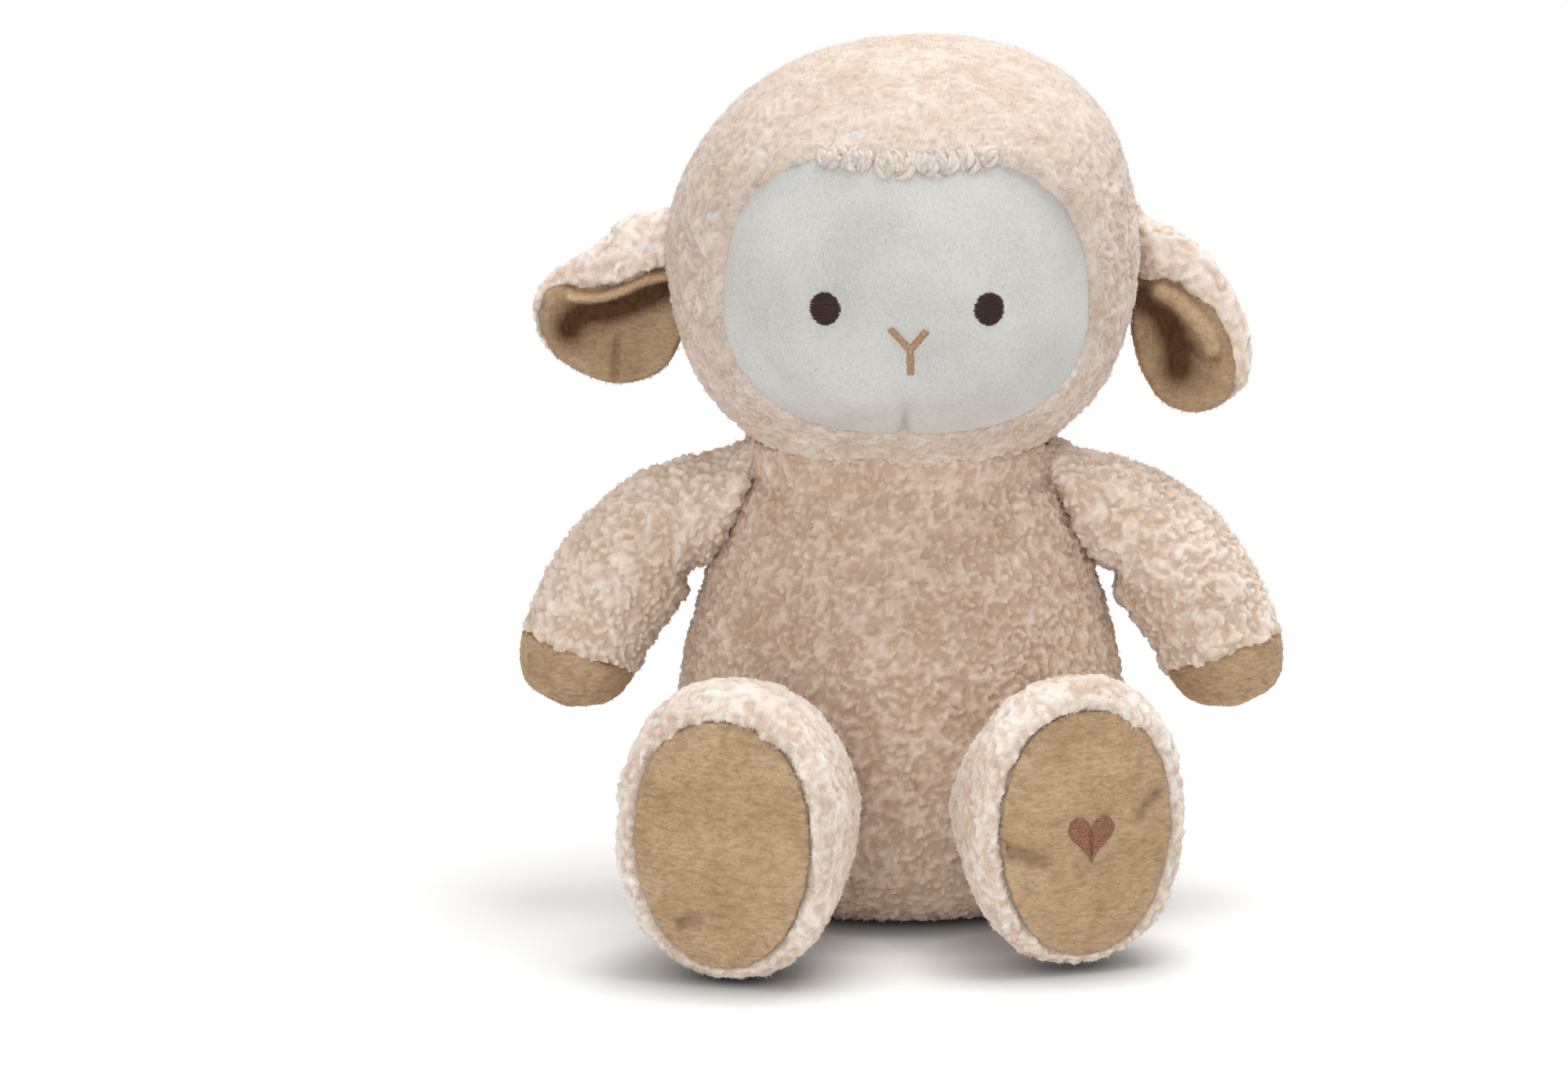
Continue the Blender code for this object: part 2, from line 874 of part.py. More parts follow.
def make_leg(side, word, length, fleece, fibre, minky):
    """One leg: cover, sole and filling."""
    hip, run, across, sole = leg_frame(side, length)
    pivot = hip + run * hip_pivot_depth
    rings = []
    for step in range(leg_rings):
        share = (1.0 - math.cos(step / (leg_rings - 1) * math.pi)) / 2.0
        rings.append(leg_ring(side, length, share))
    cover = new_object(
        "leg_cover_" + word,
        loft("leg_cover_" + word, rings, middle(rings[0]), middle(rings[-1])),
        fleece,
        pivot,
    )
    cavity = cavity_rings(side, length, fleece_wall)
    beyond = [point + run * fleece_wall for point in cavity[-1]]
    cutter = loft("leg_cavity_" + word, cavity + [beyond], middle(cavity[0]), middle(beyond))
    cut(cover, cutter)

    inner = cavity_rings(side, length, fleece_wall + filling_slack)
    inner[0] = [point + run * gap for point in inner[0]]
    inner[-1] = [point - run * gap for point in inner[-1]]
    stuffing = loft("leg_filling_" + word, inner, middle(inner[0]), middle(inner[-1]))
    new_object("leg_filling_" + word, stuffing, fibre, pivot)

    new_object("sole_" + word, sole_mesh(side, length, "sole_" + word), minky, pivot)


def cavity_rings(side, length, inset):
    """Sections of the hollow inside a leg."""
    last = leg_rings // 2
    rings = []
    for step in range(last + 1):
        share = leg_cavity_start_share + (1.0 - leg_cavity_start_share) * step / last
        rings.append(leg_ring(side, length, share, inset))
    return rings


def sole_half_sizes():
    """Half the width and height of a sole, a little over the opening."""
    width, height = leg_shares[-1][1:]
    opening_width = leg_half_width * width - fleece_wall
    opening_height = leg_half_height * height - fleece_wall
    return opening_width + sole_overlap, opening_height + sole_overlap


def sole_point(side, length, a, b, lift):
    """A place on a sole, with its narrower lower end."""
    hip, run, across, sole = leg_frame(side, length)
    half_width, half_height = sole_half_sizes()
    narrow = 1.0 - sole_point_share * max(-b, 0.0)
    low = up * -sole_drop
    return sole + low + run * (gap + lift) + across * (a * half_width * narrow) + up * (b * half_height)


def sole_mesh(side, length, name):
    """A puffed sole that closes the end of a leg."""
    rings = []
    for share, lift_share in sole_edge_shares:
        row = []
        for step in range(leg_segments):
            a, b = outline(turn * step / leg_segments, leg_roundness)
            row.append(sole_point(side, length, a * share, b * share, sole_thickness * lift_share))
        rings.append(row)
    for step in range(1, sole_rings):
        share = 1.0 - step / sole_rings
        lift = sole_thickness + sole_puff * (1.0 - share ** 2)
        row = []
        for turn_step in range(leg_segments):
            a, b = outline(turn * turn_step / leg_segments, leg_roundness)
            row.append(sole_point(side, length, a * share, b * share, lift))
        rings.append(row)
    back = sole_point(side, length, 0.0, 0.0, 0.0)
    top = sole_point(side, length, 0.0, 0.0, sole_thickness + sole_puff)
    return loft(name, rings, back, top)


def make_motif(side, length, finish):
    """A small stitched heart on one sole."""
    hip, run = leg_frame(side, length)[:2]
    half_width, half_height = sole_half_sizes()
    outer = []
    for step in range(motif_segments):
        t = turn * step / motif_segments
        x = heart_width_share * math.sin(t) ** 3
        z = sum(part * math.cos(t * order) for order, part in enumerate(heart_height_shares, 1))
        outer.append((x * motif_half_size / half_width, z * motif_half_size / half_height))
    base = sole_thickness + sole_puff + gap

    def row(share, lift):
        placed = []
        for a, b in outer:
            bulge = sole_puff * ((a * share) ** 2 + (b * share) ** 2)
            placed.append(sole_point(side, length, a * share, b * share, base - bulge + lift))
        return placed

    rings = [row(share, motif_thickness * lift) for share, lift in motif_shares]
    back = sole_point(side, length, 0.0, 0.0, base)
    top = sole_point(side, length, 0.0, 0.0, base + motif_thickness)
    pivot = hip + run * hip_pivot_depth
    new_object("sole_motif", loft("sole_motif", rings, back, top), finish, pivot)


# Tail


def make_tail(fleece):
    """A small tail on the lower back."""
    tilt = math.radians(tail_tilt)
    run = Vector((0.0, math.cos(tilt), -math.sin(tilt)))
    touch = torso_support(run)
    root = Vector((0.0, touch.y, touch.z)) + run * gap
    rise = side_on.cross(run)
    rings = []
    for step in range(tail_rings - 1):
        share = step / (tail_rings - 1)
        size = tail_half_width * blend_rows(tail_shares, share)[0]
        centre = root + run * (tail_length * share)
        rings.append(ring(centre, side_on, rise, size, size, tail_segments))
    mesh = loft("tail", rings, middle(rings[0]), root + run * tail_length)
    new_object("tail", mesh, fleece, root + run * tail_pivot_depth)


def main():
    """Build every piece."""
    start_clean()
    fleece = material("sherpa_fleece", (0.70, 0.58, 0.49), 0.95)
    velour = material("face_velour", (0.76, 0.74, 0.71), 0.85)
    minky = material("tan_minky", (0.46, 0.30, 0.17), 0.80)
    dark_thread = material("dark_brown_thread", (0.030, 0.011, 0.008), 0.45)
    caramel_thread = material("caramel_thread", (0.42, 0.22, 0.12), 0.50)
    fibre = material("polyester_fibre", (0.90, 0.90, 0.88), 0.95)
    pellets = material("pellet_bag_cloth", (0.80, 0.78, 0.72), 0.90)
    cotton = material("cotton_thread", (0.62, 0.50, 0.42), 0.70)

    make_torso(fleece, fibre, pellets, cotton)
    make_head(fleece, fibre, velour)
    make_eye("eye_right", -1.0, dark_thread)
    make_eye("eye_left", 1.0, dark_thread)
    make_nose(caramel_thread)
    make_ear(-1.0, "right", ear_right_path_shares, ear_right_half_width, fleece, minky)
    make_ear(1.0, "left", ear_left_path_shares, ear_left_half_width, fleece, minky)
    for side, word, length in ((-1.0, "right", leg_right_length), (1.0, "left", leg_left_length)):
        make_arm(side, word, fleece, fibre, minky)
        make_leg(side, word, length, fleece, fibre, minky)
    make_motif(1.0, leg_left_length, caramel_thread)
    make_tail(fleece)


main()
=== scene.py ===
"""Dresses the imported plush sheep: curly fleece covers, velour face, ears, hooves, soles and stitching."""

import json
import logging
import math
from collections.abc import Callable
from dataclasses import dataclass, field
from enum import Enum

import bpy
import numpy as np
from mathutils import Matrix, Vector
from mathutils import noise as hash_noise
from mathutils.bvhtree import BVHTree
from mathutils.kdtree import KDTree

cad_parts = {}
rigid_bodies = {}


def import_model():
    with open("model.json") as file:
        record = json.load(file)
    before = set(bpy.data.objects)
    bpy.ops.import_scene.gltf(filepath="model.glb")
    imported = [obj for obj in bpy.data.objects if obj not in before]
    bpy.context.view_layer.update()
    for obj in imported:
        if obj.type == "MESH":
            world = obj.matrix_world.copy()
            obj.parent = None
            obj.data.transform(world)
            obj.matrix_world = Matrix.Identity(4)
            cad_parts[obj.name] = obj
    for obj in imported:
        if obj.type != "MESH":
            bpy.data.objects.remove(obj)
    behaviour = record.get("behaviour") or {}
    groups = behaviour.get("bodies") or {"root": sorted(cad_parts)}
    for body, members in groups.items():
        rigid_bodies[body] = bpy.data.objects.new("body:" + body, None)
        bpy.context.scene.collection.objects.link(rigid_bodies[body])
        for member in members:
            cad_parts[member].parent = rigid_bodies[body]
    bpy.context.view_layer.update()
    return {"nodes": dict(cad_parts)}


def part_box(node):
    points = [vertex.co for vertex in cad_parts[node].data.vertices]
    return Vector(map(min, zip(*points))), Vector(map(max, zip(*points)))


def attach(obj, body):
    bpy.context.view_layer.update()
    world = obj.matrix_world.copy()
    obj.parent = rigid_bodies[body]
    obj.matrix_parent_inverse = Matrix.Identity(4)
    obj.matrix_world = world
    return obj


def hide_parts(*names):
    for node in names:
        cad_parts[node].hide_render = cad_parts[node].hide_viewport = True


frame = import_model()
log = logging.getLogger("plush_sheep")

Colour = tuple[int, int, int]
Point = tuple[float, float, float]
Spot = tuple[float, float]
Line = tuple[Spot, ...]
Rows = list[tuple[Spot, Spot]]
Rng = np.random.Generator
Socket = bpy.types.NodeSocket
Piece = bpy.types.Object

SEED = 41
WHITE = (255, 255, 255)
MILLIMETRE = 0.001
NOWHERE = 1.0
TINY = 1e-12
WELD = 1e-6
EASE_SHARE = 0.5
BAKE_MAP = "OFBake"
MAP_MARGIN = 0.02
FLOOR_GAP = 0.0002


class Side(Enum):
    """The toy's own right and left, which the camera sees the other way round."""

    RIGHT = "right"
    LEFT = "left"

    @property
    def sign(self) -> float:
        """The way this side lies along X: the toy's left is +X."""
        return 1.0 if self is Side.LEFT else -1.0


def linear(colour: Colour) -> tuple[float, float, float, float]:
    """Turns a colour as seen on a screen into the linear one that a shader takes.

    Args:
        colour: Red, green and blue from 0 to 255.

    Returns:
        Red, green, blue and a full alpha.
    """
    shares = [part / WHITE[0] for part in colour]
    parts = [share / 12.92 if share <= 0.04045 else ((share + 0.055) / 1.055) ** 2.4 for share in shares]
    return (*parts, 1.0)


def smooth_step(low: float, high: float, value: np.ndarray) -> np.ndarray:
    """Rises smoothly from 0 at low to 1 at high.

    Args:
        low: Where the rise starts.
        high: Where it ends.
        value: The values to place on the rise.

    Returns:
        The share for each value.
    """
    share = np.clip((value - low) / (high - low), 0.0, 1.0)
    return share * share * (3.0 - 2.0 * share)


def bell(offset: np.ndarray, half: float) -> np.ndarray:
    """A bell's height at an offset from its middle: 1 there, about a third at half."""
    return np.exp(-((offset / half) ** 2))


# ---------------------------------------------------------------- materials


@dataclass(frozen=True)
class Grain:
    """A noise pattern: repeats per metre, octaves, how strong the fine ones are, swirl and stretch."""

    scale: float
    detail: float = 2.0
    rough: float = 0.5
    distortion: float = 0.0
    squeeze: Point | None = None


class Wires:
    """A node tree while it is being wired."""

    def __init__(self, tree: bpy.types.NodeTree) -> None:
        """Takes the tree."""
        self.tree = tree

    def feed(self, target: Socket, value: object) -> None:
        """Links a socket into another one, or sets a plain value there."""
        if isinstance(value, Socket):
            self.tree.links.new(value, target)
        else:
            target.default_value = value

    def node(self, kind: str, inputs: dict[str | int, object] | None = None,
             **settings: object) -> bpy.types.Node:
        """Adds a node.

        Args:
            kind: The node's type name.
            inputs: What goes into its sockets, by name or number: other sockets or plain values.
            settings: Its properties by name.

        Returns:
            The new node.
        """
        made = self.tree.nodes.new(kind)
        for name, value in settings.items():
            setattr(made, name, value)
        for name, value in (inputs or {}).items():
            self.feed(made.inputs[name], value)
        return made

    def maths(self, operation: str, first: Socket, second: float | Socket) -> Socket:
        """The result of an operation on a value and another value or number."""
        return self.node("ShaderNodeMath", {0: first, 1: second}, operation=operation).outputs[0]

    def weighed(self, *parts: tuple[Socket, float]) -> Socket:
        """The sum of some values, each times its weight."""
        total = None
        for source, weight in parts:
            part = self.maths("MULTIPLY", source, weight)
            total = self.maths("ADD", total, part) if total else part
        return total

    def blend(self, share: Socket, first: Socket, second: Socket) -> Socket:
        """A mix of two shaders, with that share of the second."""
        return self.node("ShaderNodeMixShader", {0: share, 1: first, 2: second}).outputs[0]

    def seen(self) -> Socket:
        """1 for rays that look at the backdrop, through gloss or glass too, and 0 for those that light."""
        rays = self.node("ShaderNodeLightPath").outputs
        looks = self.maths("MAXIMUM", rays["Is Camera Ray"], rays["Is Glossy Ray"])
        return self.maths("MAXIMUM", looks, rays["Is Transmission Ray"])


class Shader(Wires):
    """One material while it is being wired."""

    def __init__(self, name: str) -> None:
        """Starts a material with its principled shader.

        Args:
            name: The material's name.
        """
        self.material = bpy.data.materials.new(name)
        self.material.use_nodes = True
        super().__init__(self.material.node_tree)
        self.surface = self.tree.nodes["Principled BSDF"]

    def set(self, **values: object) -> None:
        """Sets the surface's own sockets, named with _ for each space."""
        for name, value in values.items():
            self.feed(self.surface.inputs[name.replace("_", " ")], value)

    def ramp(self, source: Socket, stops: list[tuple[float, Colour]]) -> Socket:
        """Colours a value by a ramp.

        Args:
            source: The value.
            stops: Places from 0 to 1 and their colours.

        Returns:
            The colour.
        """
        made = self.node("ShaderNodeValToRGB", {"Fac": source})
        elements = made.color_ramp.elements
        while len(elements) < len(stops):
            elements.new(0.5)
        for element, (place, colour) in zip(elements, stops):
            element.position = place
            element.color = linear(colour)
        return made.outputs["Color"]

    def noise(self, grain: Grain) -> Socket:
        """A noise's value on the object's own coordinates."""
        place = self.node("ShaderNodeTexCoord").outputs["Object"]
        if grain.squeeze:
            stretched = {"Scale": grain.squeeze, "Vector": place}
            place = self.node("ShaderNodeMapping", stretched).outputs["Vector"]
        return self.node("ShaderNodeTexNoise", {
            "Scale": grain.scale, "Detail": grain.detail, "Roughness": grain.rough,
            "Distortion": grain.distortion, "Vector": place}).outputs["Fac"]

    def attribute(self, name: str) -> Socket:
        """The value that the mesh carries under that name."""
        return self.node("ShaderNodeAttribute", attribute_name=name).outputs["Fac"]

    def mix(self, blend: str, share: float | Socket, first: Socket, second: Socket | Colour) -> Socket:
        """Mixes two colours.

        Args:
            blend: The blend type.
            share: How much of the second.
            first: The first colour.
            second: The second colour, as a socket or a plain colour.

        Returns:
            The mixed colour.
        """
        other = linear(second) if isinstance(second, tuple) else second
        inputs = {0: share, 6: first, 7: other}
        return self.node("ShaderNodeMix", inputs, data_type="RGBA", blend_type=blend).outputs[2]

    def bump(self, height: Socket, distance: float, strength: float) -> None:
        """Raises the surface's bump by a height.

        Args:
            height: The height from 0 to 1.
            distance: What a height of 1 stands for, in metres.
            strength: The bump's strength.
        """
        made = self.node("ShaderNodeBump", {"Distance": distance, "Strength": strength, "Height": height})
        self.set(Normal=made.outputs["Normal"])

    def cloth(self, roughness: float, sheen: float, sheen_roughness: float, tint: Colour,
              gloss: float = 0.12) -> None:
        """Sets how a cloth scatters light.

        Args:
            roughness: The surface's roughness.
            sheen: The sheen's weight.
            sheen_roughness: The sheen's roughness.
            tint: The sheen's colour.
            gloss: The specular level.
        """
        self.set(Roughness=roughness, Specular_IOR_Level=gloss, Sheen_Weight=sheen,
                 Sheen_Roughness=sheen_roughness, Sheen_Tint=linear(tint))

    def soften(self, weight: float, depth: float) -> None:
        """Lets light through the pile's outer fibres.

        Args:
            weight: How much of the light goes in.
            depth: How deep it goes, in metres.
        """
        self.set(Subsurface_Weight=weight, Subsurface_Scale=depth, Subsurface_Radius=(1.0, 0.7, 0.5))


@dataclass(frozen=True)
class Fleece:
    """Curly sherpa fleece: pale curl tips, with painted shade in the warm valleys between them."""

    name: str
    valley_shade: Colour
    middle: Colour
    tip: Colour
    sheen: float = 0.25
    fibres: Grain = Grain(1900.0, 3.0, 0.62, 0.8)
    fibre_share: float = 0.55
    patches: Grain = Grain(42.0)
    patch: Colour = (236, 228, 221)
    patch_share: float = 0.55
    clump: Colour = (238, 226, 214)
    clump_share: float = 0.7

    def material(self) -> bpy.types.Material:
        """Wires the fleece: colour by the height in a curl, as painted shade that is darker in the valleys,
        changed by fibres, patches and clumps.
        """
        shader = Shader(self.name)
        height = shader.attribute("curl")
        off = shader.maths("SUBTRACT", shader.noise(self.fibres), 0.5)
        lift = shader.maths("ADD", height, shader.maths("MULTIPLY", off, self.fibre_share))
        # Painted shade: the lower a point lies in its curl, the darker and warmer its colour.
        base = shader.ramp(lift, [(0.08, self.valley_shade), (0.42, self.middle), (0.85, self.tip)])
        patches = shader.ramp(shader.noise(self.patches), [(0.35, self.patch), (0.65, WHITE)])
        base = shader.mix("MULTIPLY", self.patch_share, base, patches)
        clumps = shader.ramp(shader.attribute("clump"), [(0.0, self.clump), (1.0, WHITE)])
        shader.set(Base_Color=shader.mix("MULTIPLY", self.clump_share, base, clumps))
        shader.cloth(roughness=0.92, sheen=self.sheen, sheen_roughness=0.5, tint=self.tip)
        shader.soften(weight=0.3, depth=0.0018)
        return shader.material


@dataclass(frozen=True)
class Velour:
    """Short pale pile with a soft nap."""

    name: str
    shade: Colour
    light: Colour
    # The painted shade's colour in the chin's dart, mixed in by the panel's fold value.
    fold: Colour = (132, 126, 118)
    strokes: Grain = Grain(1500.0, 3.0, 0.6, 0.3, (1.0, 1.0, 0.55))
    nap: Grain = Grain(28.0, 2.0, 0.5, 0.4)

    def material(self) -> bpy.types.Material:
        """Wires the velour: fine strokes across the panel, a slow change of the nap, and painted shade in the
        chin's dart.
        """
        shader = Shader(self.name)
        strokes = shader.noise(self.strokes)
        lift = shader.weighed((strokes, 0.5), (shader.noise(self.nap), 0.5))
        base = shader.ramp(lift, [(0.33, self.shade), (0.62, self.light)])
        # Painted shade where the panel carries a fold value.
        shader.set(Base_Color=shader.mix("MIX", shader.attribute("fold"), base, self.fold))
        shader.bump(strokes, distance=0.0005, strength=0.55)
        shader.cloth(roughness=0.88, sheen=0.35, sheen_roughness=0.4, tint=self.light)
        return shader.material


@dataclass(frozen=True)
class Minky:
    """Short tan pile whose nap lies in streaks."""

    name: str
    shade: Colour
    middle: Colour
    light: Colour
    # The painted shade's colour, mixed in by the piece's fold value.
    fold: Colour = (70, 44, 26)
    streaks: Grain = Grain(640.0, 3.0, 0.6, 1.4, (0.34, 0.34, 1.0))
    hairs: Grain = Grain(2100.0, 2.0, 0.6, 0.4, (0.34, 0.34, 1.0))
    nap: Grain = Grain(48.0, 3.0, 0.55, 0.8)

    def material(self) -> bpy.types.Material:
        """Wires the pile: streaks along the nap, with painted shade where the piece carries a fold value."""
        shader = Shader(self.name)
        lift = shader.weighed((shader.noise(self.streaks), 0.42), (shader.noise(self.hairs), 0.26),
                              (shader.noise(self.nap), 0.32))
        base = shader.ramp(lift, [(0.32, self.shade), (0.5, self.middle), (0.68, self.light)])
        shader.set(Base_Color=shader.mix("MIX", shader.attribute("fold"), base, self.fold))
        shader.bump(lift, distance=0.0007, strength=0.5)
        shader.cloth(roughness=0.8, sheen=0.55, sheen_roughness=0.35, tint=self.light)
        return shader.material


@dataclass(frozen=True)
class Thread:
    """Glossy embroidery thread."""

    name: str
    shade: Colour
    light: Colour
    sheen: float = 0.3
    strands: Grain = Grain(1400.0)
    twist: Grain = Grain(5200.0, 1.0)

    def material(self) -> bpy.types.Material:
        """Wires the thread: small changes from strand to strand."""
        shader = Shader(self.name)
        stops = [(0.35, self.shade), (0.65, self.light)]
        shader.set(Base_Color=shader.ramp(shader.noise(self.strands), stops))
        shader.bump(shader.noise(self.twist), distance=0.0002, strength=0.3)
        shader.cloth(roughness=0.5, sheen=self.sheen, sheen_roughness=0.3, tint=self.light, gloss=0.35)
        return shader.material


@dataclass(frozen=True)
class Wadding:
    """Loose white fibre, or a plain woven bag."""

    name: str
    shade: Colour
    light: Colour
    cloud: Grain

    def material(self) -> bpy.types.Material:
        """Wires the cloth: cloudy at its own scale."""
        shader = Shader(self.name)
        cloud = shader.noise(self.cloud)
        shader.set(Base_Color=shader.ramp(cloud, [(0.3, self.shade), (0.65, self.light)]))
        shader.bump(cloud, distance=0.001, strength=0.4)
        shader.cloth(roughness=0.95, sheen=0.3, sheen_roughness=0.5, tint=self.light)
        return shader.material


FLEECE = Fleece("sherpa_fleece", (202, 180, 162), (217, 198, 182), (229, 214, 202)).material()
# A paler, less yellow copy of the body's fleece for the head: partly its own tone, partly painted light for
# its well-lit top.
LIT_HEAD_FLEECE = Fleece("head_fleece", (208, 193, 180), (219, 207, 197), (229, 220, 212)).material()
# A paler copy of the body's fleece, as painted light for the feet's upturned tops; the ears use it too.
LIT_CREAM_FLEECE = Fleece("lit_cream_fleece", (226, 211, 198), (238, 228, 219), (247, 241, 235)).material()
# A paler copy of the body's fleece, as painted light for the arms, which face the lamps more than the torso
# does.
LIT_SLEEVE_FLEECE = Fleece("lit_sleeve_fleece", (217, 200, 185), (232, 218, 206), (243, 233, 224)).material()
FACE_VELOUR = Velour("face_velour", (184, 182, 177), (209, 207, 202)).material()
TAN_MINKY = Minky("tan_minky", (150, 121, 90), (178, 149, 117), (203, 177, 145)).material()
DARK_THREAD = Thread("dark_brown_thread", (30, 13, 8), (56, 29, 20), 0.05).material()
CARAMEL_THREAD = Thread("caramel_thread", (152, 118, 92), (188, 154, 126)).material()
RUSSET_THREAD = Thread("russet_thread", (122, 82, 58), (156, 113, 86)).material()
COTTON_THREAD = Thread("cotton_thread", (214, 196, 178), (238, 226, 212)).material()
FIBRE_CLOUD, WEAVE = Grain(350.0, 4.0, 0.65, 1.0), Grain(900.0, 4.0, 0.65, 1.0)
FIBRE = Wadding("polyester_fibre", (226, 226, 224), (246, 246, 244), FIBRE_CLOUD).material()
PELLET_CLOTH = Wadding("pellet_cloth", (206, 198, 186), (228, 221, 209), WEAVE).material()


# ---------------------------------------------------------------- mesh tools


def placed(name: str, data: bpy.types.ID) -> Piece:
    """A new object in the scene that shows this mesh, curve, lamp or camera."""
    made = bpy.data.objects.new(name, data)
    bpy.context.scene.collection.objects.link(made)
    return made


def select_only(first: Piece, *others: Piece) -> None:
    """Selects these objects alone and makes the first one active."""
    bpy.ops.object.select_all(action="DESELECT")
    for piece in (first, *others):
        piece.select_set(True)
    bpy.context.view_layer.objects.active = first


def absorb(piece: Piece, *others: Piece) -> None:
    """Joins other objects to a piece."""
    select_only(piece, *others)
    bpy.ops.object.join()


def read(items: bpy.types.bpy_prop_collection, key: str, width: int, kind: type = np.float32) -> np.ndarray:
    """Reads one property of many mesh parts.

    Args:
        items: The parts.
        key: The property.
        width: How many numbers it has.
        kind: The numbers' type.

    Returns:
        A row for each part, or a plain list where the width is 1.
    """
    flat = np.empty(len(items) * width, kind)
    items.foreach_get(key, flat)
    return flat.reshape(-1, width) if width > 1 else flat


def modify(piece: Piece, kind: str, **settings: object) -> None:
    """Adds a modifier to a piece and applies it.

    Args:
        piece: The piece.
        kind: The modifier's type.
        settings: The modifier's properties by name.
    """
    select_only(piece)
    modifier = piece.modifiers.new(kind.title(), kind)
    for name, value in settings.items():
        setattr(modifier, name, value)
    bpy.ops.object.modifier_apply(modifier=modifier.name)


def keep_outer(piece: Piece) -> None:
    """Deletes all but the shell that holds the piece's lowest point, which is the outer one."""
    select_only(piece)
    lowest = min(piece.data.vertices, key=lambda v: v.co.z).index
    bpy.ops.object.mode_set(mode="EDIT")
    bpy.ops.mesh.select_mode(type="VERT")
    bpy.ops.mesh.select_all(action="DESELECT")
    bpy.ops.object.mode_set(mode="OBJECT")
    piece.data.vertices[lowest].select = True
    bpy.ops.object.mode_set(mode="EDIT")
    bpy.ops.mesh.select_linked()
    bpy.ops.mesh.select_all(action="INVERT")
    bpy.ops.mesh.delete(type="VERT")
    bpy.ops.object.mode_set(mode="OBJECT")


def skin_of(name: str, nodes: list[str], voxel: float, ease: int, levels: int) -> Piece:
    """Makes one closed skin over CAD nodes: copied, remeshed to even squares, eased and subdivided.

    Args:
        name: The new piece's name.
        nodes: The CAD nodes that it covers.
        voxel: The remesh's square size.
        ease: How many times the squares are smoothed.
        levels: Subdivision levels.

    Returns:
        The skin.
    """
    copies = [placed(name, frame["nodes"][node].data.copy()) for node in nodes]
    select_only(*copies)
    if len(copies) > 1:
        bpy.ops.object.join()
    skin = copies[0]
    skin.data.materials.clear()
    bpy.ops.object.mode_set(mode="EDIT")
    bpy.ops.mesh.select_all(action="SELECT")
    bpy.ops.mesh.remove_doubles(threshold=WELD)
    bpy.ops.object.mode_set(mode="OBJECT")
    modify(skin, "REMESH", mode="VOXEL", voxel_size=voxel)
    keep_outer(skin)
    modify(skin, "SMOOTH", factor=EASE_SHARE, iterations=ease)
    modify(skin, "SUBSURF", levels=levels, render_levels=levels)
    skin.data.name = name
    skin.data.shade_smooth()
    return skin


def places(piece: Piece) -> np.ndarray:
    """The piece's points, one row each."""
    return read(piece.data.vertices, "co", 3).astype(float)


def normals(piece: Piece) -> np.ndarray:
    """The outward direction at each of the piece's points."""
    return read(piece.data.vertex_normals, "vector", 3).astype(float)


def move_to(piece: Piece, where: np.ndarray) -> None:
    """Puts the piece's points at these places."""
    piece.data.vertices.foreach_set("co", where.astype(np.float32).ravel())
    piece.data.update()


def carry(piece: Piece, name: str, values: np.ndarray) -> None:
    """Stores a value for each point, for a material to read."""
    layer = piece.data.attributes.get(name) or piece.data.attributes.new(name, "FLOAT", "POINT")
    layer.data.foreach_set("value", values.astype(np.float32))


def unit(rows: np.ndarray) -> np.ndarray:
    """Each row at length 1."""
    return rows / np.maximum(np.linalg.norm(rows, axis=1, keepdims=True), TINY)


def dot(first: np.ndarray, second: np.ndarray) -> np.ndarray:
    """The dot product of each pair of rows, as a column."""
    return (first * second).sum(axis=1, keepdims=True)


def swirl(where: np.ndarray, scale: float) -> np.ndarray:
    """A smooth random direction at each place.

    Args:
        where: The places.
        scale: Changes per metre.

    Returns:
        Directions with parts from -1 to 1.
    """
    return np.array([hash_noise.noise_vector(Vector(p)) for p in where * scale])


def ripple(where: np.ndarray, scale: float) -> np.ndarray:
    """A smooth random value from -1 to 1 at each place."""
    return np.array([hash_noise.noise(Vector(p)) for p in where * scale])


def combed(where: np.ndarray, stretch: Point, scale: float, wander: float, bend: float) -> np.ndarray:
    """A ripple drawn out into strokes that bend slowly.

    Args:
        where: The places.
        stretch: The scale along each axis: the strokes run where it is small.
        scale: Strokes per metre.
        wander: How far they bend.
        bend: Bends per metre.

    Returns:
        Values from -1 to 1.
    """
    return ripple(where * np.array(stretch) + wander * swirl(where, bend), scale)


def tree_over(meshes: list[bpy.types.Mesh]) -> BVHTree:
    """A tree for finding places on the faces of some meshes."""
    triangles, corners = [], []
    for mesh in meshes:
        start = len(corners)
        corners.extend(v.co.copy() for v in mesh.vertices)
        triangles.extend([start + i for i in face.vertices] for face in mesh.polygons)
    return BVHTree.FromPolygons(corners, triangles)


def distance_to(where: np.ndarray, node: str) -> np.ndarray:
    """How far each place is from a CAD node's surface."""
    tree = tree_over([frame["nodes"][node].data])
    return np.array([tree.find_nearest(Vector(p))[3] for p in where])


def middle_of(node: str) -> Vector:
    """The middle of a CAD node's box."""
    low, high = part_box(node)
    return (low + high) / 2.0


def scatter(where: np.ndarray, pitch: float, rng: Rng) -> np.ndarray:
    """Picks points that keep about one pitch from each other.

    Args:
        where: The points to pick from.
        pitch: The least distance.
        rng: The source of chance.

    Returns:
        The picked rows' numbers.
    """
    cells: dict[tuple[int, int, int], list[int]] = {}
    picked = []
    keys = np.floor(where / pitch).astype(int)
    around = [(i, j, k) for i in (-1, 0, 1) for j in (-1, 0, 1) for k in (-1, 0, 1)]
    for row in rng.permutation(len(where)):
        a, b, c = keys[row]
        near = [other for i, j, k in around for other in cells.get((a + i, b + j, c + k), ())]
        if near and (((where[near] - where[row]) ** 2).sum(axis=1) < pitch * pitch).any():
            continue
        cells.setdefault((a, b, c), []).append(row)
        picked.append(row)
    return np.array(picked)


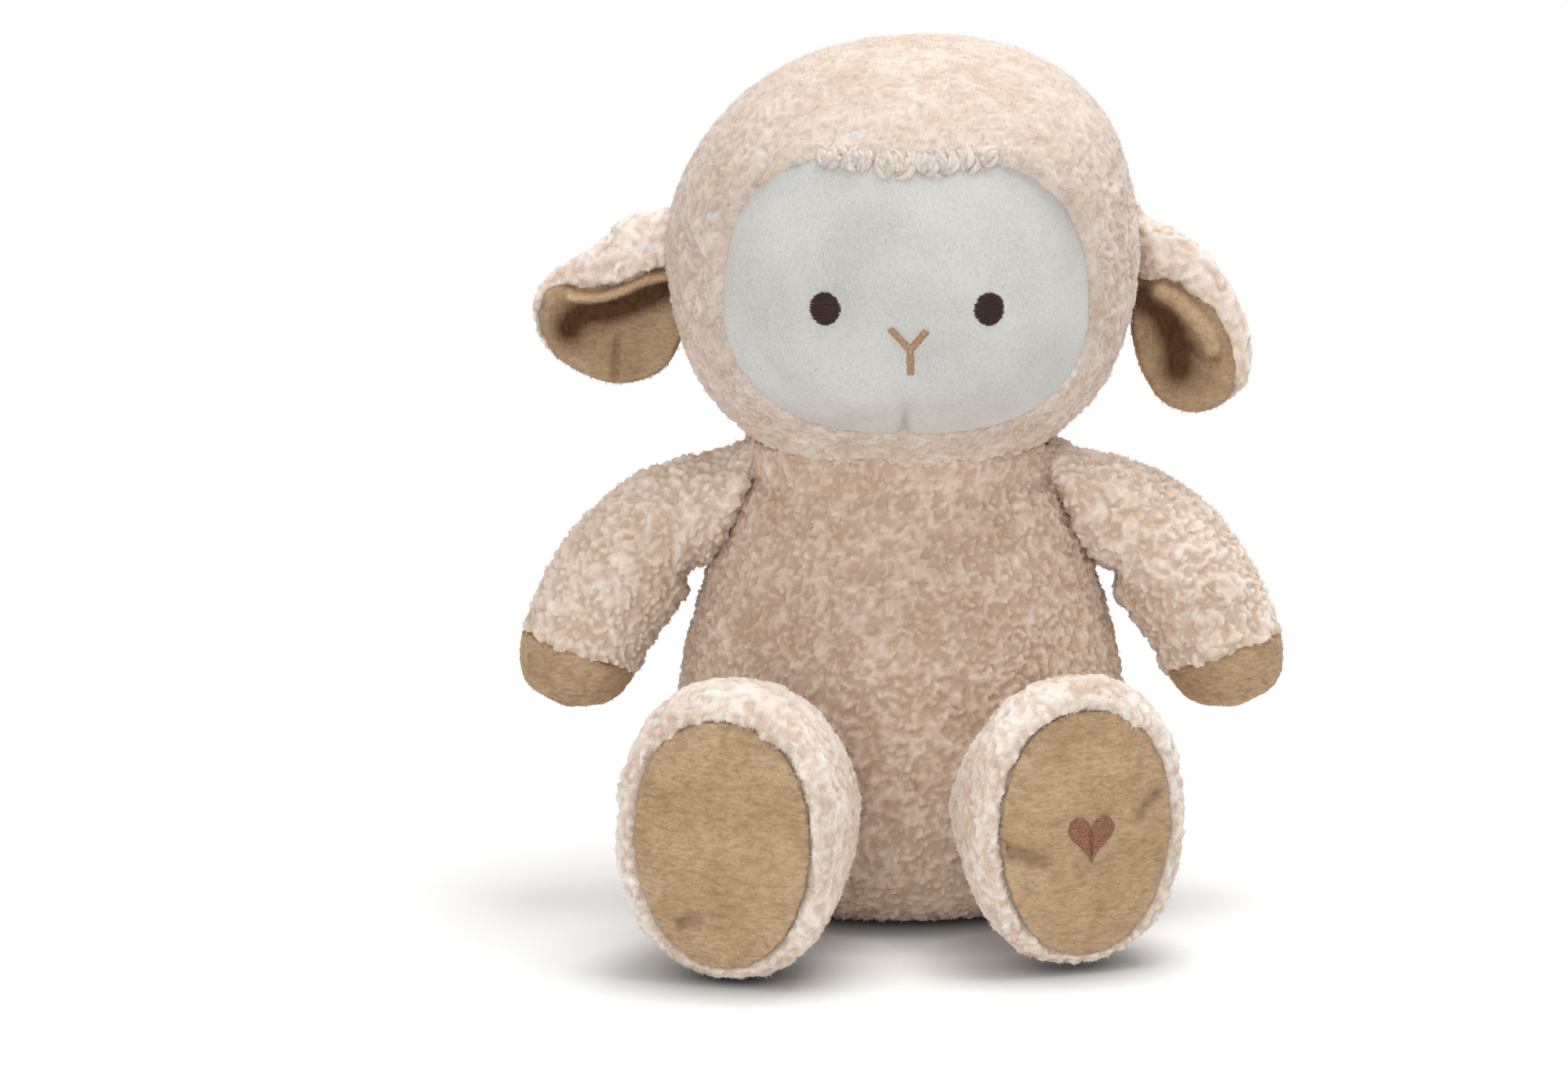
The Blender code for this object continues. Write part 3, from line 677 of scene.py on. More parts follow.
def unwrap_by_side(piece: Piece) -> None:
    """Lays the piece out flat from its six sides, one field of the map for each."""
    mesh = piece.data
    where = places(piece)
    facing = read(mesh.polygons, "normal", 3)
    axis = np.abs(facing).argmax(axis=1)
    back = np.take_along_axis(facing, axis[:, None], 1)[:, 0] < 0
    counts = read(mesh.polygons, "loop_total", 1, np.int32)
    corners = read(mesh.loops, "vertex_index", 1, np.int32)
    axis, back = np.repeat(axis, counts), np.repeat(back, counts)
    low, size = where.min(axis=0), np.ptp(where, axis=0).max()
    share = (where[corners] - low) / size
    across = np.where(axis == 0, share[:, 1], share[:, 0])
    along = np.where(axis == 2, share[:, 1], share[:, 2])
    field_share = 1.0 - 2.0 * MAP_MARGIN
    layout = np.stack([(axis + across * field_share + MAP_MARGIN) / 3.0,
                       (back + along * field_share + MAP_MARGIN) / 2.0], axis=1)
    layer = mesh.uv_layers.get(BAKE_MAP) or mesh.uv_layers.new(name=BAKE_MAP)
    layer.data.foreach_set("uv", layout.astype(np.float32).ravel())


def cover_of(name: str, nodes: list[str], voxel: float, ease: int,
             levels: int) -> tuple[Piece, np.ndarray, np.ndarray]:
    """Makes a skin as skin_of does and lays it out flat.

    Args:
        name: The new piece's name.
        nodes: The CAD nodes that it covers.
        voxel: The remesh's square size.
        ease: How many times the squares are smoothed.
        levels: Subdivision levels.

    Returns:
        The skin, its points and its outward directions.
    """
    skin = skin_of(name, nodes, voxel, ease, levels)
    unwrap_by_side(skin)
    return skin, places(skin), normals(skin)


def drawn(line: Line, closed: bool = False, between: int = 6) -> np.ndarray:
    """Runs a smooth curve through the points of a sketched line.

    Args:
        line: The points in millimetres.
        closed: Whether the last point joins the first.
        between: Steps from one point to the next.

    Returns:
        The curve's points in metres.
    """
    given = np.array(line) * MILLIMETRE
    count = len(given)
    steps = []
    for start in range(count if closed else count - 1):
        if closed:
            a, b, c, d = (given[(start + k) % count] for k in (-1, 0, 1, 2))
        else:
            a, b, c, d = (given[min(max(start + k, 0), count - 1)] for k in (-1, 0, 1, 2))
        for step in range(between):
            t = step / between
            steps.append(0.5 * (2.0 * b + (c - a) * t + (2.0 * a - 5.0 * b + 4.0 * c - d) * t ** 2
                                + (3.0 * b - a - 3.0 * c + d) * t ** 3))
    if not closed:
        steps.append(given[-1])
    return np.array(steps)


def nearest_on(line: np.ndarray, spots: np.ndarray, closed: bool = False) -> np.ndarray:
    """The nearest point of a line to each spot.

    Args:
        line: The line's points.
        spots: The spots, one row each.
        closed: Whether the line's last point joins its first.

    Returns:
        The nearest points.
    """
    start = line if closed else line[:-1]
    run = (np.roll(line, -1, axis=0) if closed else line[1:]) - start
    rel = spots[:, None, :] - start[None, :, :]
    share = np.clip((rel * run).sum(axis=2) / np.maximum((run * run).sum(axis=1), TINY), 0.0, 1.0)
    foot = start[None, :, :] + share[:, :, None] * run[None, :, :]
    best = np.linalg.norm(spots[:, None, :] - foot, axis=2).argmin(axis=1)
    return foot[np.arange(len(spots)), best]


def off_line(line: np.ndarray, spots: np.ndarray, closed: bool = False) -> np.ndarray:
    """How far each spot is from a line."""
    return np.linalg.norm(spots - nearest_on(line, spots, closed), axis=1)


def inset(line: np.ndarray, spots: np.ndarray) -> np.ndarray:
    """How far inside a closed line each spot is, below 0 outside.

    Args:
        line: The closed line's points.
        spots: The spots, one row each.

    Returns:
        The distances.
    """
    after = np.roll(line, -1, axis=0)
    x, z = spots[:, :1], spots[:, 1:]
    spans = (line[:, 1] > z) != (after[:, 1] > z)
    rise = np.where(after[:, 1] == line[:, 1], TINY, after[:, 1] - line[:, 1])
    cut = line[:, 0] + (z - line[:, 1]) * (after[:, 0] - line[:, 0]) / rise
    held = ((spans & (x < cut)).sum(axis=1) % 2) == 1
    return np.where(held, 1.0, -1.0) * off_line(line, spots, True)


def rounded(inset_by: np.ndarray, radius: float) -> np.ndarray:
    """A quarter circle's height over the way in from an edge, from 0 to 1."""
    return np.sqrt(np.clip(1.0 - (1.0 - np.clip(inset_by / radius, 0.0, 1.0)) ** 2, 0.0, 1.0))


def slab(name: str, outline: np.ndarray, pitch: float,
         sheets: Callable[[np.ndarray], tuple[np.ndarray, np.ndarray]]) -> Piece:
    """Makes a closed piece from its front outline and the depth of its two sides.

    Args:
        name: The piece's name.
        outline: The closed outline.
        pitch: The net's spacing.
        sheets: Gives the front's and the back's depth at each spot.

    Returns:
        The piece, remeshed to even squares and laid out flat.
    """
    low = outline.min(axis=0) - pitch
    wide, tall = (np.ceil((outline.max(axis=0) - low) / pitch) + 2).astype(int)
    across, up = np.meshgrid(np.arange(wide), np.arange(tall), indexing="ij")
    spots = low + np.stack([across, up], axis=-1).reshape(-1, 2) * pitch
    cells = spots.reshape(wide, tall, 2)[:-1, :-1].reshape(-1, 2) + pitch / 2.0
    kept = (inset(outline, cells) > 0.0).reshape(wide - 1, tall - 1)
    uses = np.zeros((wide, tall), int)
    for i in (0, 1):
        for j in (0, 1):
            uses[i:wide - 1 + i, j:tall - 1 + j] += kept
    uses = uses.ravel()
    rim = (uses > 0) & (uses < 4)
    spots[rim] = nearest_on(outline, spots[rim], True)
    front, back = sheets(spots)
    front[rim] = back[rim]
    total = wide * tall
    corners = np.concatenate([np.stack([spots[:, 0], side, spots[:, 1]], axis=1) for side in (front, back)])
    faces = []
    for i, j in zip(*np.nonzero(kept)):
        ring = [i * tall + j, (i + 1) * tall + j, (i + 1) * tall + j + 1, i * tall + j + 1]
        faces.append(ring)
        faces.append([k if rim[k] else k + total for k in reversed(ring)])
    mesh = bpy.data.meshes.new(name)
    mesh.from_pydata(corners.tolist(), [], faces)
    piece = placed(name, mesh)
    modify(piece, "REMESH", mode="VOXEL", voxel_size=pitch)
    modify(piece, "SMOOTH", factor=EASE_SHARE, iterations=3)
    piece.data.shade_smooth()
    unwrap_by_side(piece)
    return piece


# ---------------------------------------------------------------- fleece


@dataclass
class Lie:
    """What a raised pile leaves at each point, for the fibres that grow from it."""

    lay: np.ndarray
    curl: np.ndarray
    clump: np.ndarray
    long: np.ndarray


@dataclass(frozen=True)
class Pile:
    """How a fleece curls.

    Lengths are in metres and scales in changes per metre. A curl's lay mixes chance with a slow
    swirl and gravity. Its dome is drawn out along the lay, and the domes add up to the curls'
    height, from bare at 0 to level at which the skin stays in place, and on to 1.
    """

    pitch: float = 0.0027
    height: float = 0.0026
    stretch: float = 1.6
    lean: float = 0.0009
    wander: float = 0.0012
    wander_scale: float = 330.0
    jitter_share: float = 0.45
    jitter_scale: float = 900.0
    softness: float = 0.46
    neighbours: int = 5
    swirl_share: float = 1.6
    swirl_scale: float = 60.0
    droop: float = 0.45
    sizes: Spot = (0.7, 1.3)
    heights: Spot = (0.45, 1.0)
    packing: float = 1.35
    least: float = 0.16
    span: float = 0.72
    ripples: tuple[Spot, ...] = ((0.16, 700.0), (0.14, 1500.0))
    level: float = 0.4
    bare: float = 0.6

    def raise_on(self, piece: Piece, strength: np.ndarray, rng: Rng) -> Lie:
        """Raises the curls on a skin and stores each point's height in its curl.

        Args:
            piece: The skin.
            strength: How strong the curls are at each point, from 0 to 1.
            rng: The source of chance.

        Returns:
            Each point's lay, height in its curl and clump value.
        """
        where, out = places(piece), normals(piece)
        roots = scatter(where, self.pitch, rng)
        seeds = where[roots]
        gravity = np.array([0.0, 0.0, -self.droop])
        lay = rng.normal(size=(len(roots), 3)) + self.swirl_share * swirl(seeds, self.swirl_scale) + gravity
        lay = unit(lay - out[roots] * dot(lay, out[roots]))
        size = rng.uniform(*self.sizes, len(roots))
        tall = rng.uniform(*self.heights, len(roots))
        tree = KDTree(len(roots))
        for number, seed in enumerate(seeds):
            tree.insert(Vector(seed), number)
        tree.balance()
        asked = where + self.wander * swirl(where, self.wander_scale)
        asked = asked + self.jitter_share * self.wander * swirl(where, self.jitter_scale)
        near = np.array([[hit[1] for hit in tree.find_n(Vector(p), self.neighbours)] for p in asked])
        away = asked[:, None, :] - seeds[near]
        along = (away * lay[near]).sum(axis=2)
        whole = (away * away).sum(axis=2)
        reach = np.sqrt(np.maximum(whole - along * along, 0.0) + (along / self.stretch) ** 2)
        reach = reach / (self.pitch * size[near])
        dome = bell(reach, self.softness) * tall[near]
        whole = dome.sum(axis=1)
        curl = (1.0 - np.exp(-self.packing * whole) - self.least) / self.span
        for weight, scale in self.ripples:
            curl = curl + weight * ripple(where, scale)
        curl = np.clip(curl, 0.0, 1.0)
        share = dome / np.maximum(whole, 1e-6)[:, None]
        lean = (lay[near] * share[:, :, None]).sum(axis=1)
        rise = (curl - self.level) * self.height * strength
        move_to(piece, where + out * rise[:, None] + lean * (self.lean * curl * strength)[:, None])
        height = np.clip(curl * strength + self.bare * (1.0 - strength), 0.0, 1.0)
        clump = (rng.uniform(0.0, 1.0, len(roots))[near] * share).sum(axis=1)
        # The curl height also sets the fleece's painted shade: low points get the dark valley colour.
        carry(piece, "curl", height)
        carry(piece, "clump", clump)
        return Lie(unit(lean), height, clump, np.ones(len(where)))


@dataclass(frozen=True)
class Fibres:
    """The loose fibres that stand out of a fleece, each a spike with three sides and no base."""

    per_square_metre: float = 460000.0
    length: float = 0.0017
    width: float = 0.00013
    rise: float = 0.7
    stray: float = 0.8
    scatter: float = 0.0004
    lengths: Spot = (0.55, 1.25)
    paleness: Spot = (-0.1, 0.3)
    depth_share: float = 2.0
    sides: int = 3

    def spikes(self, start: np.ndarray, along: np.ndarray, long: np.ndarray,
               out: np.ndarray) -> tuple[np.ndarray, list[tuple[int, ...]]]:
        """Works out the spikes' corners and faces.

        Args:
            start: Each spike's root.
            along: The way it points.
            long: Its length.
            out: The skin's outward direction at its root.

        Returns:
            The corners and the faces.
        """
        side = unit(np.cross(along, out + 1e-4))
        over = np.cross(along, side)
        rings = []
        for turn in range(self.sides):
            angle = turn * math.tau / self.sides
            rings.append(start + (side * math.cos(angle) + over * math.sin(angle)) * self.width)
        corners = np.stack(rings + [start + along * long], axis=1).reshape(-1, 3)
        step = self.sides + 1
        faces = [(turn + step * spike, (turn + 1) % self.sides + step * spike, self.sides + step * spike)
                 for spike in range(len(start)) for turn in range(self.sides)]
        return corners, faces

    def grow_on(self, piece: Piece, lie: Lie, strength: np.ndarray, rng: Rng) -> None:
        """Grows pointed fibres from a skin and joins them to it.

        Args:
            piece: The skin.
            lie: Its pile's lay, heights and clumps.
            strength: How thick the fibres stand at each point, from 0 to 1.
            rng: The source of chance.
        """
        mesh = piece.data
        where, out = places(piece), normals(piece)
        area = sum(face.area for face in mesh.polygons)
        chance = strength / strength.sum()
        count = int(self.per_square_metre * area * min(strength.mean(), 1.0))
        roots = rng.choice(len(where), count, p=chance)
        long = (self.length * lie.long[roots] * rng.uniform(*self.lengths, count))[:, None]
        off = rng.normal(size=(count, 3)) * self.scatter
        off -= out[roots] * dot(off, out[roots])
        start = where[roots] - out[roots] * self.depth_share * self.width + off
        loose = rng.normal(size=(count, 3)) * self.stray
        along = unit(out[roots] * self.rise + lie.lay[roots] + loose)
        corners, faces = self.spikes(start, along, long, out[roots])
        wool = bpy.data.meshes.new(piece.name + "_fibres")
        wool.from_pydata(corners.tolist(), [], faces)
        grown = placed(wool.name, wool)
        step = self.sides + 1
        # Each fibre takes its root's curl height, a little paler, and so shares the fleece's painted valley
        # shade.
        tips = np.clip(lie.curl[roots] + rng.uniform(*self.paleness, count), 0.0, 1.0)
        carry(grown, "curl", np.repeat(tips, step))
        carry(grown, "clump", np.repeat(lie.clump[roots], step))
        # The fibres also share their root's painted shade value.
        fold = mesh.attributes.get("fold")
        if fold:
            carry(grown, "fold", np.repeat(read(fold.data, "value", 1)[roots], step))
        spot = np.zeros((len(where), 2), np.float32)
        spot[read(mesh.loops, "vertex_index", 1, np.int32)] = read(mesh.uv_layers[BAKE_MAP].data, "uv", 2)
        owner = read(wool.loops, "vertex_index", 1, np.int32)
        layer = wool.uv_layers.new(name=BAKE_MAP)
        layer.data.foreach_set("uv", spot[roots][owner // step].ravel())
        absorb(piece, grown)


VELOUR_NAP = Fibres(1500000.0, 0.0010, 0.00010, 0.35, 0.3, 0.0005)
MINKY_NAP = Fibres(850000.0, 0.0015, 0.00013, 0.35, 0.3, 0.0005)
DOWN = np.array([0.0, 0.0, -1.0])


def brush(piece: Piece, nap: Fibres, strength: np.ndarray, rng: Rng) -> None:
    """Grows a short pile that lies brushed down in slow swirls.

    Args:
        piece: The piece, unwrapped.
        nap: The pile's fibres.
        strength: How thick it stands at each point.
        rng: The source of chance.
    """
    where, out = places(piece), normals(piece)
    lay = DOWN + 0.9 * swirl(where, 55.0) + 0.4 * swirl(where, 200.0)
    lay = unit(lay - out * dot(lay, out))
    plain = np.ones(len(where))
    nap.grow_on(piece, Lie(lay, 0.5 * plain, plain, plain), strength, rng)


def dress(piece: Piece, finish: bpy.types.Material, body: str,
          nodes: list[str]) -> Piece:
    """Gives a finished piece its material and its body, and hides the CAD nodes that it stands for.

    Args:
        piece: The piece.
        finish: Its material.
        body: The CAD body that it rides on.
        nodes: The CAD nodes that it replaces.

    Returns:
        The piece.
    """
    piece.data.materials.clear()
    piece.data.materials.append(finish)
    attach(piece, body)
    if nodes:
        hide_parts(*nodes)
    log.info("%s: %d faces on %s", piece.name, len(piece.data.polygons), body)
    return piece


class Ground:
    """A finished surface that stitches and trim are laid on, seen from the front or the back."""

    def __init__(self, piece: Piece, from_front: bool = True) -> None:
        """Prepares a piece for laying things on.

        Args:
            piece: The piece.
            from_front: Whether the front is dressed, or the back.
        """
        self.tree = tree_over([piece.data])
        self.along = Vector((0.0, 1.0 if from_front else -1.0, 0.0))

    def place(self, x: float, z: float, lift: float) -> Vector:
        """The surface's point there, raised off it.

        Args:
            x: Place from side to side.
            z: Height.
            lift: How far off the surface.

        Returns:
            The point.
        """
        hit, facing, _, _ = self.tree.ray_cast(Vector((x, 0.0, z)) - self.along, self.along)
        return hit + facing * lift

    def depth(self, x: float, z: float) -> float:
        """How far back the surface is there, and beyond everything where there is none."""
        hit = self.tree.ray_cast(Vector((x, 0.0, z)) - self.along, self.along)[0]
        return hit.y if hit else NOWHERE


def strands(name: str, half: float, roundness: int, lines: list[list[tuple[Point, float]]]) -> Piece:
    """Makes round strands as one mesh.

    Args:
        name: The mesh's name.
        half: Half of a strand's thickness.
        roundness: The bevel's resolution.
        lines: Each strand's points, and the share of its thickness at each.

    Returns:
        The strands.
    """
    curve = bpy.data.curves.new(name, "CURVE")
    curve.dimensions = "3D"
    curve.bevel_depth = half
    curve.bevel_resolution = roundness
    curve.use_fill_caps = True
    for spots in lines:
        line = curve.splines.new("POLY")
        line.points.add(len(spots) - 1)
        for point, (spot, size) in zip(line.points, spots):
            point.co = (*spot, 1.0)
            point.radius = size
    select_only(placed(name, curve))
    bpy.ops.object.convert(target="MESH")
    made = bpy.context.view_layer.objects.active
    made.data.shade_smooth()
    return made


@dataclass(frozen=True)
class Locks:
    """Small fuzzy locks of fleece that hang over an edge."""

    half: float = 0.0014
    shape: Line = ((0.0, 0.6), (0.2, 0.9), (0.4, 1.0), (0.6, 0.95), (0.8, 0.7), (0.93, 0.4), (1.0, 0.1))
    bend: float = 0.18
    sizes: Spot = (0.7, 1.15)
    arch: float = 1.1
    sink: float = 0.5
    paleness: float = 0.52
    ripple_share: float = 0.4
    ripple_scale: float = 800.0
    clump: float = 0.9
    droop: float = 0.8
    fuzz: Fibres = Fibres(2400000.0, 0.0015, 0.00012, 0.8, 0.9, 0.0002)

    def line(self, start: np.ndarray, end: np.ndarray, rests: list[Ground],
             rng: Rng) -> list[tuple[Point, float]]:
        """One lock's points and sizes: a bent line that lies over what it hangs on.

        Args:
            start: Where it starts, side to side and height.
            end: Where it ends.
            rests: What it lies on.
            rng: The source of chance.

        Returns:
            The points, each with the share of the lock's thickness there.
        """
        run = end - start
        bend = np.array([-run[1], run[0]]) * self.bend * rng.normal()
        plump = rng.uniform(*self.sizes)
        spots = [start + run * share + bend * math.sin(math.pi * share) for share, _ in self.shape]
        depths = np.array([min(rest.depth(*spot) for rest in rests) for spot in spots])
        for _ in range(2):
            depths[1:-1] = 0.25 * depths[:-2] + 0.5 * depths[1:-1] + 0.25 * depths[2:]
        line = []
        for spot, depth, (share, size) in zip(spots, depths, self.shape):
            rise = self.half * (self.arch * math.sin(math.pi * share) ** 0.5 - self.sink)
            line.append(((spot[0], depth - rise, spot[1]), size * plump))
        return line

    def hang_on(self, skin: Piece, ends: list[tuple[np.ndarray, np.ndarray]], rests: list[Ground],
                rng: Rng) -> None:
        """Hangs locks on a skin and joins them to it.

        Args:
            skin: The fleece that they belong to.
            ends: Where each lock starts and ends, side to side and height.
            rests: What the locks lie on.
            rng: The source of chance.
        """
        locks = strands("locks", self.half, 2, [self.line(start, end, rests, rng) for start, end in ends])
        unwrap_by_side(locks)
        where = places(locks)
        plain = np.ones(len(where))
        curl = np.clip(self.paleness + self.ripple_share * ripple(where, self.ripple_scale), 0.0, 1.0)
        carry(locks, "curl", curl)
        carry(locks, "clump", self.clump * plain)
        lay = unit(swirl(where, 300.0) + self.droop * DOWN)
        self.fuzz.grow_on(locks, Lie(lay, curl, self.clump * plain, plain), plain, rng)
        absorb(skin, locks)


@dataclass(frozen=True)
class Satin:
    """Rows of thread laid close together."""

    thread: float = 0.00024
    pitch: float = 0.00040
    puff: float = 0.0007
    steps: int = 7
    roundness: float = 0.6
    sink_share: float = 0.4
    end_size: float = 0.7
    jag: float = 0.001

    def sew(self, name: str, ground: Ground, rows: Rows) -> Piece:
        """Lays each row as a raised thread from one end to the other.

        Args:
            name: The piece's name.
            ground: What it is sewn on.
            rows: The two ends of each row, side to side and height.

        Returns:
            The sewn piece, as one mesh.
        """
        lines = []
        for first, last in rows:
            spots = []
            for step in range(self.steps):
                share = step / (self.steps - 1)
                lift = self.puff * math.sin(math.pi * share) ** self.roundness - self.thread * self.sink_share
                x, z = (a + (b - a) * share for a, b in zip(first, last))
                at_end = step in (0, self.steps - 1)
                spots.append((ground.place(x, z, lift), self.end_size if at_end else 1.0))
            lines.append(spots)
        return strands(name, self.thread, 1, lines)

    def row_shares(self, height: float) -> list[float]:
        """The heights of the rows that fill a shape this high, from -1 to 1."""
        count = int(height / self.pitch)
        return [-1.0 + 2.0 * (row + 0.5) / (count + 1) for row in range(count + 1)]

    def oval(self, centre: Spot, half_width: float, half_height: float, rng: Rng) -> Rows:
        """Rows from side to side across an oval, with slightly uneven ends.

        Args:
            centre: The oval's middle, side to side and height.
            half_width: Half of its width.
            half_height: Half of its height.
            rng: The source of chance.

        Returns:
            The rows.
        """
        rows = []
        for share in self.row_shares(2.0 * half_height):
            half = half_width * math.sqrt(1.0 - share * share)
            jag = rng.uniform(-0.25, 0.45, 2) * self.jag
            z = centre[1] + share * half_height
            rows.append(((centre[0] - half - jag[0], z + jag[1] * 0.3), (centre[0] + half + jag[1], z)))
        return rows

    def bar(self, start: Spot, end: Spot, width: float, slant: float, rng: Rng) -> Rows:
        """Rows across a straight bar.

        Args:
            start: One end of the bar, side to side and height.
            end: The other.
            width: Its width.
            slant: How far the rows lean along it, as a share of the width.
            rng: The source of chance.

        Returns:
            The rows.
        """
        first, last = Vector((start[0], 0.0, start[1])), Vector((end[0], 0.0, end[1]))
        run = last - first
        across = Vector((-run.z, 0.0, run.x)).normalized()
        lean = run.normalized() * (width * slant)
        rows = []
        count = int(run.length / self.pitch)
        for row in range(count + 1):
            middle = first + run * (row / count)
            half = width * 0.5 * rng.uniform(0.9, 1.1)
            low, high = middle - across * half - lean, middle + across * half + lean
            rows.append(((low.x, low.z), (high.x, high.z)))
        return rows


def fill(node: str, body: str, rng: Rng) -> None:
    """Makes a lumpy fibre filling in place of a plain one, clear of its cover.

    Args:
        node: The CAD filling.
        body: The body that it rides on.
        rng: The source of chance.
    """
    wad = skin_of(f"{node}_wad", [node], voxel=0.0075, ease=3, levels=1)
    where, out = places(wad), normals(wad)
    shift = rng.uniform(0.0, 9.0)
    lumps = 0.0012 * ripple(where + shift, 120.0) + 0.0006 * ripple(where + shift, 380.0)
    move_to(wad, where + out * (lumps - 0.0032)[:, None])
    dress(wad, FIBRE, body, [node])


def keep_above_floor(piece: Piece) -> None:
    """Presses what would reach below the floor flat on it."""
    where = places(piece)
    where[:, 2] = np.maximum(where[:, 2], FLOOR_GAP)
    move_to(piece, where)


@dataclass
class Torso:
    """The stuffed body: one pear of curly fleece, its filling, pellets and closing seam."""

    neck_reach: float = 0.012
    neck_spread: float = 0.0056
    neck_rise: float = 0.0066
    back_reach: float = 0.03
    crease_place: float = 0.0015
    crease_half: float = 0.003
    crease_depth: float = 0.0016
    seam_half: float = 0.004
    seam_fade: float = 0.004
    stitch_count: int = 11
    stitch_half: float = 0.0021
    stitch_slant: float = 0.0004
    stitch: Satin = Satin(thread=0.00035, puff=0.0006)
    pile: Pile = Pile(pitch=0.0026, height=0.0025, stretch=1.3)
    fibres: Fibres = Fibres()

    def build(self, rng: Rng) -> None:
        """Makes the body's fleece and what it holds."""
        skin, where, _ = cover_of("torso_fleece", ["body_cover"], voxel=0.004, ease=3, levels=2)
        self.shape_neck(where)
        move_to(skin, where)
        low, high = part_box("closing_seam")
        seam = bell(where[:, 0], self.seam_half) * (where[:, 1] > self.back_reach)
        seam *= smooth_step(low.z - self.seam_fade, low.z, where[:, 2])
        seam *= 1.0 - smooth_step(high.z, high.z + self.seam_fade, where[:, 2])
        strength = 1.0 - 0.8 * seam
        lie = self.pile.raise_on(skin, strength, rng)
        ground = Ground(skin, from_front=False)
        self.fibres.grow_on(skin, lie, strength * (strength > 0.6), rng)
        keep_above_floor(skin)
        dress(skin, FLEECE, "torso", ["body_cover"])
        self.close(ground, low, high, rng)
        fill("body_filling", "torso", rng)
        bag = skin_of("pellet_bag", ["seat_pellet_bag"], voxel=0.005, ease=3, levels=1)
        where, out = places(bag), normals(bag)
        move_to(bag, where + out * (0.0008 * ripple(where, 220.0) - 0.0010)[:, None])
        dress(bag, PELLET_CLOTH, "torso", ["seat_pellet_bag"])

    def shape_neck(self, where: np.ndarray) -> None:
        """Raises and spreads the neck under the head, less at the back, and creases its front."""
        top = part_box("body_cover")[1].z
        neck = smooth_step(top - self.neck_reach, top - 0.001, where[:, 2])
        around = unit(where * np.array([1.0, 1.0, 0.0]))
        back = smooth_step(0.0, self.back_reach, where[:, 1])
        where += around * (self.neck_spread * neck * (1.0 - 0.85 * back))[:, None]
        where[:, 2] += self.neck_rise * neck * (1.0 + 0.25 * back)
        crease = bell(where[:, 0] - self.crease_place, self.crease_half)
        crease = crease * smooth_step(top - 0.026, top - 0.004, where[:, 2])
        where[:, 1] += self.crease_depth * crease * (where[:, 1] < 0)

    def close(self, ground: Ground, low: Vector, high: Vector, rng: Rng) -> None:
        """Sews the ladder stitch that closes the back, from its low end to its high one."""
        rows = []
        for step in range(self.stitch_count):
            z = low.z + (high.z - low.z) * (step + 0.5) / self.stitch_count
            half = self.stitch_half * rng.uniform(0.85, 1.15)
            rows.append(((-half, z - self.stitch_slant), (half, z + self.stitch_slant)))
        dress(self.stitch.sew("closing_stitches", ground, rows), COTTON_THREAD, "torso",
              ["closing_seam"])


